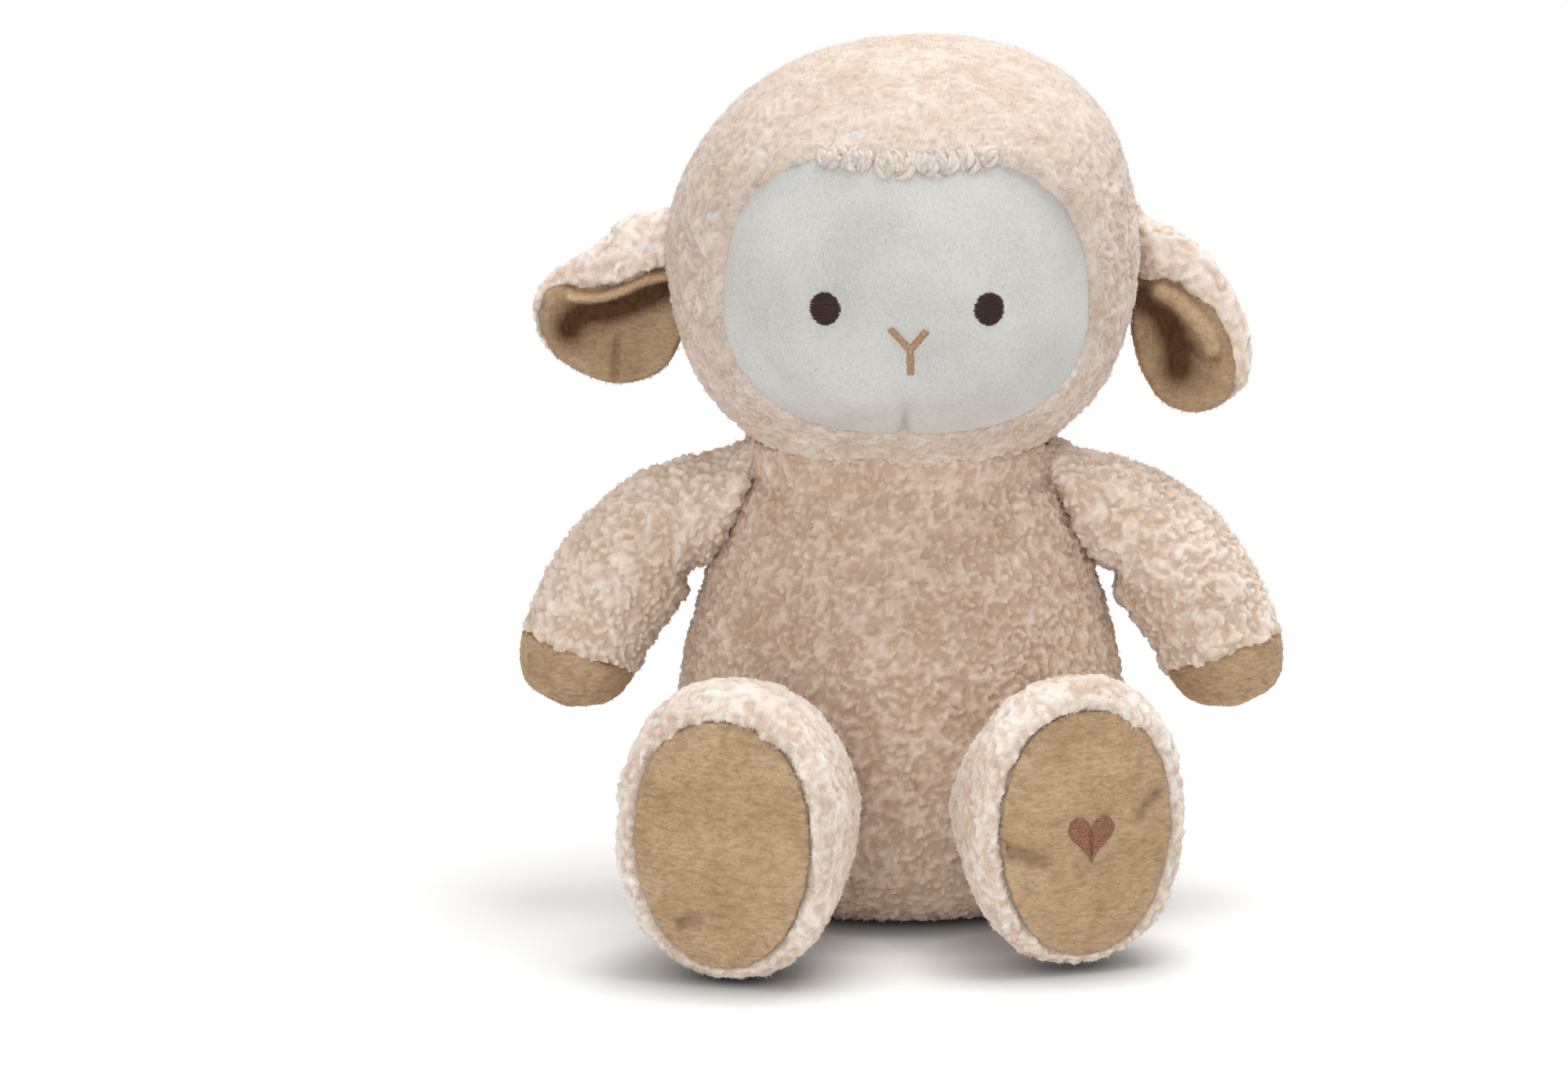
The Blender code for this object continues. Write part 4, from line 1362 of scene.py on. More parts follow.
@dataclass
class Face:
    """The face opening's place and outline, and the velour panel in it."""

    pitch: float = 0.0010
    cloth: float = 0.0030
    rim_steps: int = 160
    roundness: float = 2.7
    shift: Point = (-0.0018, 0.0, 0.0026)
    widen: float = 0.0018
    heighten: float = 0.0016
    fringe_drop: float = 0.0034
    fringe_half: float = 0.024
    edge_wave: float = 0.0012
    edge_wave_scale: float = 240.0
    notch_rise: float = 0.0012
    notch_half: float = 0.0022
    dart_height: float = 0.017
    dart_depth: float = 0.0028
    dart_half: float = 0.0016
    dart_shade: float = 0.4
    cheek_swell: float = 0.0056
    cheek: Point = (0.021, 0.0, 0.015)
    cheek_half: Spot = (0.019, 0.013)
    dimple_depth: float = 0.0012
    dimple_half: float = 0.009
    pull_depth: float = 0.0010
    pull_half: float = 0.0020
    pulls: tuple[Spot, ...] = ((0.95, 1.0), (0.35, 0.7))
    tuck: float = 1.035
    eye_half_width: float = 0.0052
    eye_half_height: float = 0.0057
    eye_shifts: tuple[tuple[Side, float], ...] = ((Side.RIGHT, -0.0020), (Side.LEFT, -0.0009))
    nose_shift: float = -0.0012
    nose_width: float = 0.0024
    nose_joint: Spot = (0.0008, 0.0088)
    nose_foot: Spot = (0.0002, 0.0003)
    nose_slant: float = 0.12
    satin: Satin = Satin(thread=0.00028, pitch=0.00046)

    def __post_init__(self) -> None:
        """Reads the panel's place from the frame and fits a smooth dome to its surface."""
        low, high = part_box("face_panel")
        self.centre = (low + high) / 2.0 + Vector(self.shift)
        self.half_width = (high.x - low.x) / 2.0 + self.widen
        self.half_height = (high.z - low.z) / 2.0 + self.heighten
        self.ground = Ground(frame["nodes"]["face_panel"])
        grounds = [self.ground, Ground(frame["nodes"]["head_cover"])]
        known = np.concatenate([self.rim(size) for size in np.linspace(0.05, 1.04, 14)])
        depth = np.array([min(ground.depth(*spot) for ground in grounds) for spot in known])
        met = depth < NOWHERE
        self.dome = np.linalg.lstsq(self.terms(known[met]), depth[met], rcond=None)[0]

    def share(self, where: np.ndarray) -> np.ndarray:
        """How far out of the opening's middle each place is: 1 on the outline."""
        side = where[:, 0] - self.centre.x
        drop = self.fringe_drop * bell(side, self.fringe_half)
        drop += self.edge_wave * ripple(where * np.array([1.0, 0.0, 0.0]), self.edge_wave_scale)
        height = where[:, 2] - self.centre.z
        height = height + drop * smooth_step(0.0, self.half_height * 0.7, height)
        notch = self.notch_rise * bell(side, self.notch_half)
        height = height - notch * smooth_step(-0.3 * self.half_height, -self.half_height, height)
        across, up = np.abs(side) / self.half_width, np.abs(height) / self.half_height
        return (across ** self.roundness + up ** self.roundness) ** (1.0 / self.roundness)

    def rim(self, size: float) -> np.ndarray:
        """The panel's outline at a share of its size, side to side and height."""
        angle = np.linspace(0.0, math.tau, self.rim_steps, endpoint=False)
        power = 2.0 / self.roundness
        across, up = (np.sign(turn) * np.abs(turn) ** power for turn in (np.cos(angle), np.sin(angle)))
        return np.stack([self.centre.x + across * self.half_width * size,
                         self.centre.z + up * self.half_height * size], axis=1)

    def edge(self) -> np.ndarray:
        """Spots along the opening's edge."""
        spots: list[np.ndarray] = []
        centre = np.array([self.centre.x, self.centre.z])
        for spot in self.rim(1.0):
            for _ in range(4):
                at = np.array([[spot[0], 0.0, spot[1]]])
                spot = centre + (spot - centre) / self.share(at)[0]
            spots.append(spot)
        return np.array(spots)

    def terms(self, spots: np.ndarray) -> np.ndarray:
        """The parts of the smooth dome's formula at each spot."""
        u = (spots[:, 0] - self.centre.x) / self.half_width
        v = (spots[:, 1] - self.centre.z) / self.half_height
        parts = [np.ones(len(u)), u, v, u * u, u * v, v * v, v ** 3, u ** 4, u * u * v * v, v ** 4]
        return np.stack(parts, axis=1)

    def sheets(self, spots: np.ndarray) -> tuple[np.ndarray, np.ndarray]:
        """The panel's depth: a smooth dome over the CAD panel, with the stuffing's relief.

        Args:
            spots: Side to side and height of each spot.

        Returns:
            The front's and the back's depth.
        """
        where = np.stack([spots[:, 0], np.zeros(len(spots)), spots[:, 1]], axis=1)
        front = self.terms(spots) @ self.dome - self.relief(where)
        return front, front + self.cloth

    def off_chin(self, where: np.ndarray) -> tuple[np.ndarray, np.ndarray]:
        """Each place's way to the side of the chin and above it."""
        return where[:, 0] - self.centre.x, where[:, 2] - (self.centre.z - self.half_height)

    def dart(self, where: np.ndarray) -> np.ndarray:
        """How deep in the dart under the chin each place is, from 0 to 1."""
        side, height = self.off_chin(where)
        return bell(side, self.dart_half) * (1.0 - smooth_step(0.004, self.dart_height, height))

    def relief(self, where: np.ndarray) -> np.ndarray:
        """How far the stuffing pushes each place out: cheeks, the chin's dart, dimples at the eyes."""
        side, height = self.off_chin(where)
        rise = np.zeros(len(where))
        for sign in (-1.0, 1.0):
            off = ((side - sign * self.cheek[0]) / self.cheek_half[0]) ** 2
            rise += self.cheek_swell * np.exp(-(off + ((height - self.cheek[2]) / self.cheek_half[1]) ** 2))
        rise -= self.dart_depth * self.dart(where)
        for node in ("eye_right", "eye_left"):
            middle = middle_of(node)
            out = 1.0 if middle.x > self.centre.x else -1.0
            dx, dz = where[:, 0] - middle.x, where[:, 2] - middle.z
            rise -= self.dimple_depth * np.exp(-(dx ** 2 + dz ** 2) / self.dimple_half ** 2)
            for lean, far in self.pulls:
                run = dx * out * math.cos(lean) - dz * math.sin(lean)
                off = dx * out * math.sin(lean) + dz * math.cos(lean)
                reach = smooth_step(0.003, 0.006, run) * (1.0 - smooth_step(0.009, 0.019 * far, run))
                rise -= self.pull_depth * reach * bell(off, self.pull_half)
        return rise

    def build(self, rng: Rng) -> None:
        """Makes the velour panel and the embroidery on it."""
        panel = slab("face_velour", self.rim(self.tuck), self.pitch, self.sheets)
        where, out = places(panel), normals(panel)
        faces_front = smooth_step(0.1, 0.5, -out[:, 1])
        # Painted shade in the chin's dart, on the parts that face forward.
        carry(panel, "fold", self.dart_shade * self.dart(where) * faces_front)
        move_to(panel, where + out * (0.0001 * ripple(where, 900.0) * faces_front)[:, None])
        self.ground = Ground(panel)
        brush(panel, VELOUR_NAP, faces_front + 0.01, rng)
        dress(panel, FACE_VELOUR, "head", ["face_panel"])
        for side, shift in self.eye_shifts:
            node = f"eye_{side.value}"
            middle = middle_of(node) + Vector((shift, 0.0, 0.0))
            rows = self.satin.oval((middle.x, middle.z), self.eye_half_width, self.eye_half_height, rng)
            eye = self.satin.sew(f"eye_stitches_{side.value}", self.ground, rows)
            dress(eye, DARK_THREAD, "head", [node])
        self.sew_nose(rng)

    def sew_nose(self, rng: Rng) -> None:
        """Sews the nose and mouth: two slanted bars that meet on an upright one."""
        low, high = (corner + Vector((self.nose_shift, 0.0, 0.0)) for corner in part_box("nose_mouth"))
        width = self.nose_width
        joint = ((low.x + high.x) / 2.0 + self.nose_joint[0], low.z + self.nose_joint[1])
        tip_right = (low.x + width * 0.55, high.z - width * 0.45)
        tip_left = (high.x - width * 0.45, high.z - width * 0.75)
        rows = self.satin.bar(tip_right, joint, width, self.nose_slant, rng)
        rows += self.satin.bar(tip_left, joint, width, -self.nose_slant, rng)
        foot = (joint[0] + self.nose_foot[0], low.z + self.nose_foot[1])
        rows += self.satin.bar(joint, foot, width, 0.0, rng)
        nose = self.satin.sew("nose_stitches", self.ground, rows)
        dress(nose, CARAMEL_THREAD, "head", ["nose_mouth"])


@dataclass
class Head:
    """The stuffed head: shorter curls, with the face's opening pressed in."""

    face: Face
    sink: float = 0.006
    edge: float = 0.0032
    edge_inset: float = 0.0012
    rim_lift: float = 0.0016
    rim_reach: float = 0.006
    neck_start: float = 0.002
    neck_reach: float = 0.010
    neck_drop: float = 0.0028
    crown: Spot = (0.245, 0.30)
    rim_calm: float = 0.45
    rim_lay: float = 1.6
    fringe_half: float = 0.026
    fringe_droop: float = 1.5
    rim_thickness: float = 4.0
    locks: Locks = Locks()
    tufts: int = 9
    locks_in_tuft: int = 10
    tuft_half: float = 0.0042
    tuft_reach: float = 0.0046
    tuft_stray: float = 0.0010
    tip_stray: float = 0.0016
    root_rise: Spot = (0.0008, 0.0045)
    lock_stray: Spot = (0.0011, 0.0010)
    brow_half: float = 0.026
    pile: Pile = Pile(pitch=0.0026, height=0.0019, lean=0.0007)
    fibres: Fibres = Fibres(length=0.0015)

    def build(self, rng: Rng) -> None:
        """Makes the head's fleece."""
        nodes = ["head_cover", "face_panel", "head_filling"]
        skin, where, out = cover_of("head_fleece", nodes, voxel=0.004, ease=3, levels=2)
        face, base = self.face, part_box("head_cover")[0].z
        neck = 1.0 - smooth_step(base + self.neck_start, base + self.neck_reach, where[:, 2])
        where[:, 2] -= self.neck_drop * neck
        front = smooth_step(0.0, 0.02, face.centre.y + 0.03 - where[:, 1])
        outside = (face.share(where) - 1.0) * min(face.half_width, face.half_height) - self.edge_inset
        inside = (1.0 - smooth_step(-self.edge, 0.0, outside)) * front
        rim = bell(outside, self.rim_reach) * (1.0 - inside) * front
        move_to(skin, where + out * (self.rim_lift * rim - self.sink * inside)[:, None])
        crown = smooth_step(*self.crown, where[:, 2])
        strength = (1.0 - 0.5 * crown) * (1.0 - inside)
        lie = self.pile.raise_on(skin, strength * (1.0 - self.rim_calm * rim), rng)
        inwards = unit((np.array(face.centre) - where) * np.array([1.0, 0.0, 1.0]))
        lie.lay[:] = unit(lie.lay * (1.0 - 0.6 * rim)[:, None] + self.rim_lay * rim[:, None] * inwards)
        fringe = bell(where[:, 0] - face.centre.x, self.fringe_half) * rim * (where[:, 2] > face.centre.z)
        lie.lay[:, 2] -= self.fringe_droop * fringe
        lie.lay[:] = unit(lie.lay + 0.8 * fringe[:, None] * swirl(where, 260.0))
        lie.long[:] = 1.0 + 0.5 * rim + 1.2 * fringe * (0.5 + ripple(where, 300.0).clip(-0.5, 0.5))
        self.fibres.grow_on(skin, lie, (1.0 - inside) * (1.0 + self.rim_thickness * rim), rng)
        self.hang_fringe(skin, rng)
        dress(skin, LIT_HEAD_FLEECE, "head", ["head_cover"])
        fill("head_filling", "head", rng)

    def hang_fringe(self, skin: Piece, rng: Rng) -> None:
        """Hangs the fringe's tufts over the brow, the middle ones the longest."""
        edge = self.face.edge()
        edge = edge[edge[:, 1] > self.face.centre.z]
        ends = []
        for share in np.linspace(-1.0, 1.0, self.tufts):
            side = self.face.centre.x + share * self.brow_half + rng.normal() * self.tuft_stray
            brow = edge[np.abs(edge[:, 0] - side).argmin(), 1]
            reach = self.tuft_reach * (1.0 - 0.75 * share * share) * rng.uniform(0.55, 1.2)
            tip = np.array([side + rng.normal() * self.tip_stray, brow - reach])
            for _ in range(self.locks_in_tuft):
                across = side + rng.uniform(-1.0, 1.0) * self.tuft_half
                root = np.array([across, brow + rng.uniform(*self.root_rise)])
                ends.append((root, tip + rng.normal(size=2) * np.array(self.lock_stray)))
        self.locks.hang_on(skin, ends, [Ground(skin), self.face.ground], rng)


@dataclass(frozen=True)
class EarSketch:
    """One ear drawn flat from the front, side to side and height in millimetres."""

    outline: Line
    flap: Line
    free: Line
    lip: Line
    shade: Line
    groove: Line
    lip_half: float
    shade_half: float


EAR_SKETCHES = {
    Side.RIGHT: EarSketch(
        outline=((-74.2, 254.7), (-82.3, 253.0), (-91.8, 252.2), (-100.2, 248.5), (-108.6, 240.0),
                 (-121.5, 232.6), (-129.9, 224.9), (-132.4, 217.5), (-131.0, 209.0), (-127.6, 201.4),
                 (-122.3, 197.1), (-115.0, 193.4), (-106.6, 190.3), (-99.4, 189.4), (-91.8, 190.8),
                 (-84.5, 194.5), (-78.9, 202.5), (-74.2, 215.6)),
        flap=((-74.2, 233.2), (-83.4, 230.9), (-90.7, 229.5), (-94.9, 226.3), (-100.8, 224.6),
              (-105.5, 223.8), (-115.0, 223.5), (-121.5, 223.8), (-125.4, 221.5)),
        free=((-127.6, 217.8), (-128.2, 212.7), (-126.8, 206.5), (-123.7, 200.2), (-119.8, 197.1),
              (-114.8, 194.0), (-106.6, 190.7), (-99.4, 189.9), (-91.8, 191.3), (-84.5, 195.1),
              (-79.5, 202.8), (-74.2, 216.1)),
        lip=((-83.4, 228.9), (-91.8, 226.9), (-98.0, 224.1), (-105.5, 221.5), (-113.4, 220.9),
             (-118.1, 221.8)),
        shade=((-118.1, 210.4), (-113.4, 215.0), (-103.6, 216.7), (-92.4, 220.4), (-83.4, 225.2)),
        groove=((-100.8, 207.0), (-101.6, 199.9), (-101.9, 193.4)),
        lip_half=1.9, shade_half=6.0,
    ),
    Side.LEFT: EarSketch(
        outline=((81.2, 254.7), (85.6, 250.5), (96.6, 245.7), (107.2, 238.3), (114.5, 228.6),
                 (119.8, 220.1), (123.2, 210.4), (125.1, 200.8), (123.7, 190.0), (119.5, 184.0),
                 (114.5, 182.0), (107.2, 179.2), (98.8, 179.5), (91.2, 183.7), (84.8, 193.1), (81.5, 203.9),
                 (80.1, 215.6)),
        flap=((80.1, 229.8), (82.9, 228.6), (86.2, 225.2), (91.2, 226.1), (95.4, 226.9), (100.8, 222.1),
              (109.4, 215.8), (113.6, 207.0), (116.2, 199.6), (116.4, 192.3)),
        free=((117.0, 187.7), (114.8, 183.2), (107.2, 179.8), (98.8, 180.1), (91.2, 184.3), (85.1, 193.7),
              (81.7, 204.2), (80.1, 216.1)),
        lip=((91.2, 223.5), (97.4, 219.5), (102.7, 214.4), (107.5, 208.2), (109.4, 203.1)),
        shade=((84.5, 221.2), (90.1, 217.8), (94.0, 211.6), (96.8, 204.2), (98.0, 195.7)),
        groove=((102.4, 204.2), (106.4, 199.6), (110.8, 199.1)),
        lip_half=3.6, shade_half=6.5,
    ),
}


@dataclass
class Ear:
    """One ear: a fleece back folded over a tan lining that curls forward at its free edge."""

    side: Side
    plane: float = -0.0010
    roll: float = 0.0085
    roll_roundness: float = 0.28
    back_bulge: float = 0.0045
    front_bulge: float = 0.0012
    edge_radius: float = 0.004
    lining_radius: float = 0.0022
    lining_back: float = 0.0004
    cup: float = 0.0032
    curl_in: float = 0.0042
    curl_reach: float = 0.013
    lip_rise: float = 0.0052
    groove_half: float = 0.0012
    groove_depth: float = 0.0020
    groove_shade_half: float = 0.0018
    root_overlap: float = 0.0012
    pile_room: float = 0.0010
    tuck: float = 0.0022
    brow_half: float = 0.004
    comb_depth: float = 0.00028
    pitch: float = 0.0009
    lining_pitch: float = 0.0007
    pile: Pile = Pile(pitch=0.0032, height=0.0019)
    fibres: Fibres = Fibres()

    def __post_init__(self) -> None:
        """Draws the sketch's lines in metres."""
        sketch = EAR_SKETCHES[self.side]
        self.outline = drawn(sketch.outline, closed=True)
        self.outline -= unit(self.outline - self.outline.mean(axis=0)) * self.pile_room
        self.flap, self.free, self.lip, self.shade, self.groove = (
            drawn(line) for line in (sketch.flap, sketch.free, sketch.lip, sketch.shade, sketch.groove))
        self.opening = np.concatenate([self.flap, self.free])
        tucked = self.flap + unit(self.flap - self.opening.mean(axis=0)) * self.tuck
        self.cloth = np.concatenate([tucked, self.free])
        self.lip_half = sketch.lip_half * MILLIMETRE
        self.shade_half = sketch.shade_half * MILLIMETRE

    def fleece_sheets(self, spots: np.ndarray) -> tuple[np.ndarray, np.ndarray]:
        """The fleece's depth: a roll along the fold and a flat sheet behind the lining.

        Args:
            spots: Side to side and height of each spot.

        Returns:
            The front's and the back's depth.
        """
        in_by = np.maximum(inset(self.outline, spots), 0.0)
        off_opening = -inset(self.opening, spots)
        band = np.maximum(off_opening, 0.0)
        half = np.maximum((in_by + band) / 2.0, 1e-6)
        round_share = np.clip(1.0 - ((in_by - band) / (2.0 * half)) ** 2, 0.0, 1.0) ** self.roll_roundness
        roll = np.minimum(half, self.roll) * round_share
        edge = rounded(in_by, self.edge_radius)
        back = self.plane + self.back_bulge * edge
        return self.plane + self.front_bulge * edge - roll * (off_opening > 0.0), back

    def lining_sheets(self, spots: np.ndarray) -> tuple[np.ndarray, np.ndarray]:
        """The lining's depth: a cup that comes forward at its free edge, and a lip under the flap.

        Args:
            spots: Side to side and height of each spot.

        Returns:
            The front's and the back's depth.
        """
        near_free = 1.0 - smooth_step(0.0, self.curl_reach, off_line(self.free, spots))
        front = self.plane - self.cup - self.curl_in * near_free
        over = off_line(self.lip, spots) / self.lip_half
        front -= self.lip_rise * np.sqrt(np.clip(1.0 - over * over, 0.0, 1.0)) * (1.0 - 0.6 * near_free)
        front += self.groove_depth * bell(off_line(self.groove, spots), self.groove_half)
        edge = rounded(inset(self.cloth, spots), self.lining_radius)
        back = np.full(len(spots), self.plane - self.lining_back)
        return back + (front - back) * edge, back

    def seat(self, piece: Piece) -> None:
        """Cuts the root to the head's side, so that the piece only touches the head."""
        tree = tree_over([frame["nodes"]["head_cover"].data])
        away = self.side.sign
        where = places(piece)
        for row, spot in enumerate(where):
            hit = tree.ray_cast(Vector((away, spot[1], spot[2])), Vector((-away, 0.0, 0.0)))[0]
            if hit is not None:
                least = away * hit.x - self.root_overlap
                where[row, 0] = away * max(away * spot[0], least)
        move_to(piece, where)

    def build(self, rng: Rng) -> None:
        """Makes the ear's back and lining."""
        word = self.side.value
        back = slab(f"ear_fleece_{word}", self.outline, self.pitch, self.fleece_sheets)
        where = places(back)
        flat = where[:, (0, 2)]
        lined = smooth_step(0.0, 0.002, inset(self.opening, flat)) * (where[:, 1] < self.plane + 0.002)
        lie = self.pile.raise_on(back, 1.0 - lined, rng)
        brow = bell(off_line(self.flap, flat), self.brow_half) * (1.0 - lined)
        lie.lay[:, 2] -= 0.8 * brow
        lie.long[:] = 1.0 + 0.5 * brow
        self.seat(back)
        self.fibres.grow_on(back, lie, 1.0 - lined, rng)
        dress(back, LIT_CREAM_FLEECE, f"ear_{word}", [f"ear_back_{word}"])
        lining = slab(f"ear_minky_{word}", self.cloth, self.lining_pitch, self.lining_sheets)
        self.seat(lining)
        where = places(lining)
        flat = where[:, (0, 2)]
        comb = combed(where, (1.0, 1.0, 0.4), 800.0, 0.0006, 150.0)
        # Painted shade on the lining: in its cup and groove, and lightly in the combed grooves of its nap.
        carry(lining, "fold", self.shading(flat) + 0.12 * np.clip(-comb, 0.0, 1.0))
        move_to(lining, where + normals(lining) * (self.comb_depth * comb)[:, None])
        brush(lining, MINKY_NAP, np.ones(len(where)), rng)
        dress(lining, TAN_MINKY, f"ear_{word}", [f"ear_lining_{word}"])

    def shading(self, flat: np.ndarray) -> np.ndarray:
        """The painted shade on the lining at each spot: some everywhere, deep in the cup and the groove, none
        on the lip.
        """
        dark = bell(off_line(self.shade, flat), self.shade_half)
        crease = bell(off_line(self.groove, flat), self.groove_shade_half)
        on_lip = np.exp(-((off_line(self.lip, flat) / self.lip_half) ** 4))
        return np.clip(0.22 + 0.9 * dark + 0.15 * crease, 0.0, 0.95) * (1.0 - on_lip)


@dataclass
class Arm:
    """One arm: a fleece sleeve and a tan hoof."""

    side: Side
    root_reach: float = 0.0070
    root_swell: float = 0.0042
    seam_waves: tuple[Spot, ...] = ((0.0026, 130.0), (0.0008, 420.0))
    rim_place: float = 0.002
    rim_half: float = 0.003
    rim_lift: float = 0.0012
    sink: float = 0.0025
    hoof_swell: float = 0.0006
    comb_depth: float = 0.00035
    pile: Pile = Pile(pitch=0.0029, height=0.0026, stretch=1.35)
    fibres: Fibres = Fibres()

    def build(self, rng: Rng) -> None:
        """Makes the sleeve, the hoof and the filling."""
        word = self.side.value
        parts = ("arm", "arm_cover", "hoof_cap", "arm_filling")
        body, cover, hoof, filling = (f"{part}_{word}" for part in parts)
        nodes = [cover, hoof, filling]
        skin, where, out = cover_of(f"arm_fleece_{word}", nodes, voxel=0.003, ease=4, levels=2)
        nearer = distance_to(where, cover) - distance_to(where, hoof)
        for size, scale in self.seam_waves:
            nearer = nearer + size * ripple(where, scale)
        inside = smooth_step(-0.0002, 0.0022, nearer)
        rim = bell(nearer + self.rim_place, self.rim_half) * (1.0 - inside)
        root = bell(distance_to(where, "body_cover"), self.root_reach)
        swell = self.root_swell * root + self.rim_lift * rim - self.sink * inside
        move_to(skin, where + out * swell[:, None])
        lie = self.pile.raise_on(skin, 1.0 - inside, rng)
        self.fibres.grow_on(skin, lie, 1.0 - inside, rng)
        dress(skin, LIT_SLEEVE_FLEECE, body, [cover])
        cap, where, out = cover_of(f"hoof_minky_{word}", [hoof], voxel=0.0015, ease=5, levels=1)
        comb = combed(where, (0.35, 0.35, 1.0), 900.0, 0.0006, 120.0)
        move_to(cap, where + out * (self.hoof_swell + self.comb_depth * comb)[:, None])
        # Painted shade in the combed grooves of the hoof's nap.
        carry(cap, "fold", np.clip(-comb * 0.5, 0.0, 0.35))
        brush(cap, MINKY_NAP, np.ones(len(where)), rng)
        dress(cap, TAN_MINKY, body, [hoof])
        fill(filling, body, rng)


@dataclass(frozen=True)
class Fold:
    """A soft fold pressed into a sole: a groove with a ridge beside it, that fades at its ends."""

    start: Spot
    end: Spot
    depth: float
    half: float = 0.0024
    ridge_place: float = 0.005
    ridge_half: float = 0.0036
    ridge_share: float = 0.7

    def press(self, where: np.ndarray) -> tuple[np.ndarray, np.ndarray]:
        """Works out the fold at each place.

        Args:
            where: The places.

        Returns:
            How deep in the groove each place is, from 0 to 1, and how far it rises.
        """
        run = np.array(self.end) - np.array(self.start)
        long = np.linalg.norm(run)
        dx, dz = where[:, 0] - self.start[0], where[:, 2] - self.start[1]
        along = (dx * run[0] + dz * run[1]) / long ** 2
        off = (dz * run[0] - dx * run[1]) / long
        fade = smooth_step(-0.15, 0.1, along) * (1.0 - smooth_step(0.55, 1.05, along))
        groove = bell(off, self.half) * fade
        ridge = bell(off - self.ridge_place, self.ridge_half) * fade
        return groove, self.depth * (self.ridge_share * ridge - groove)


FOLDS = {
    Side.RIGHT: (Fold((-0.079, 0.021), (-0.071, 0.026), 0.0010),),
    Side.LEFT: (Fold((0.0310, 0.0490), (0.0540, 0.0395), 0.0026),
                Fold((0.0800, 0.0545), (0.0900, 0.0665), 0.0012)),
}


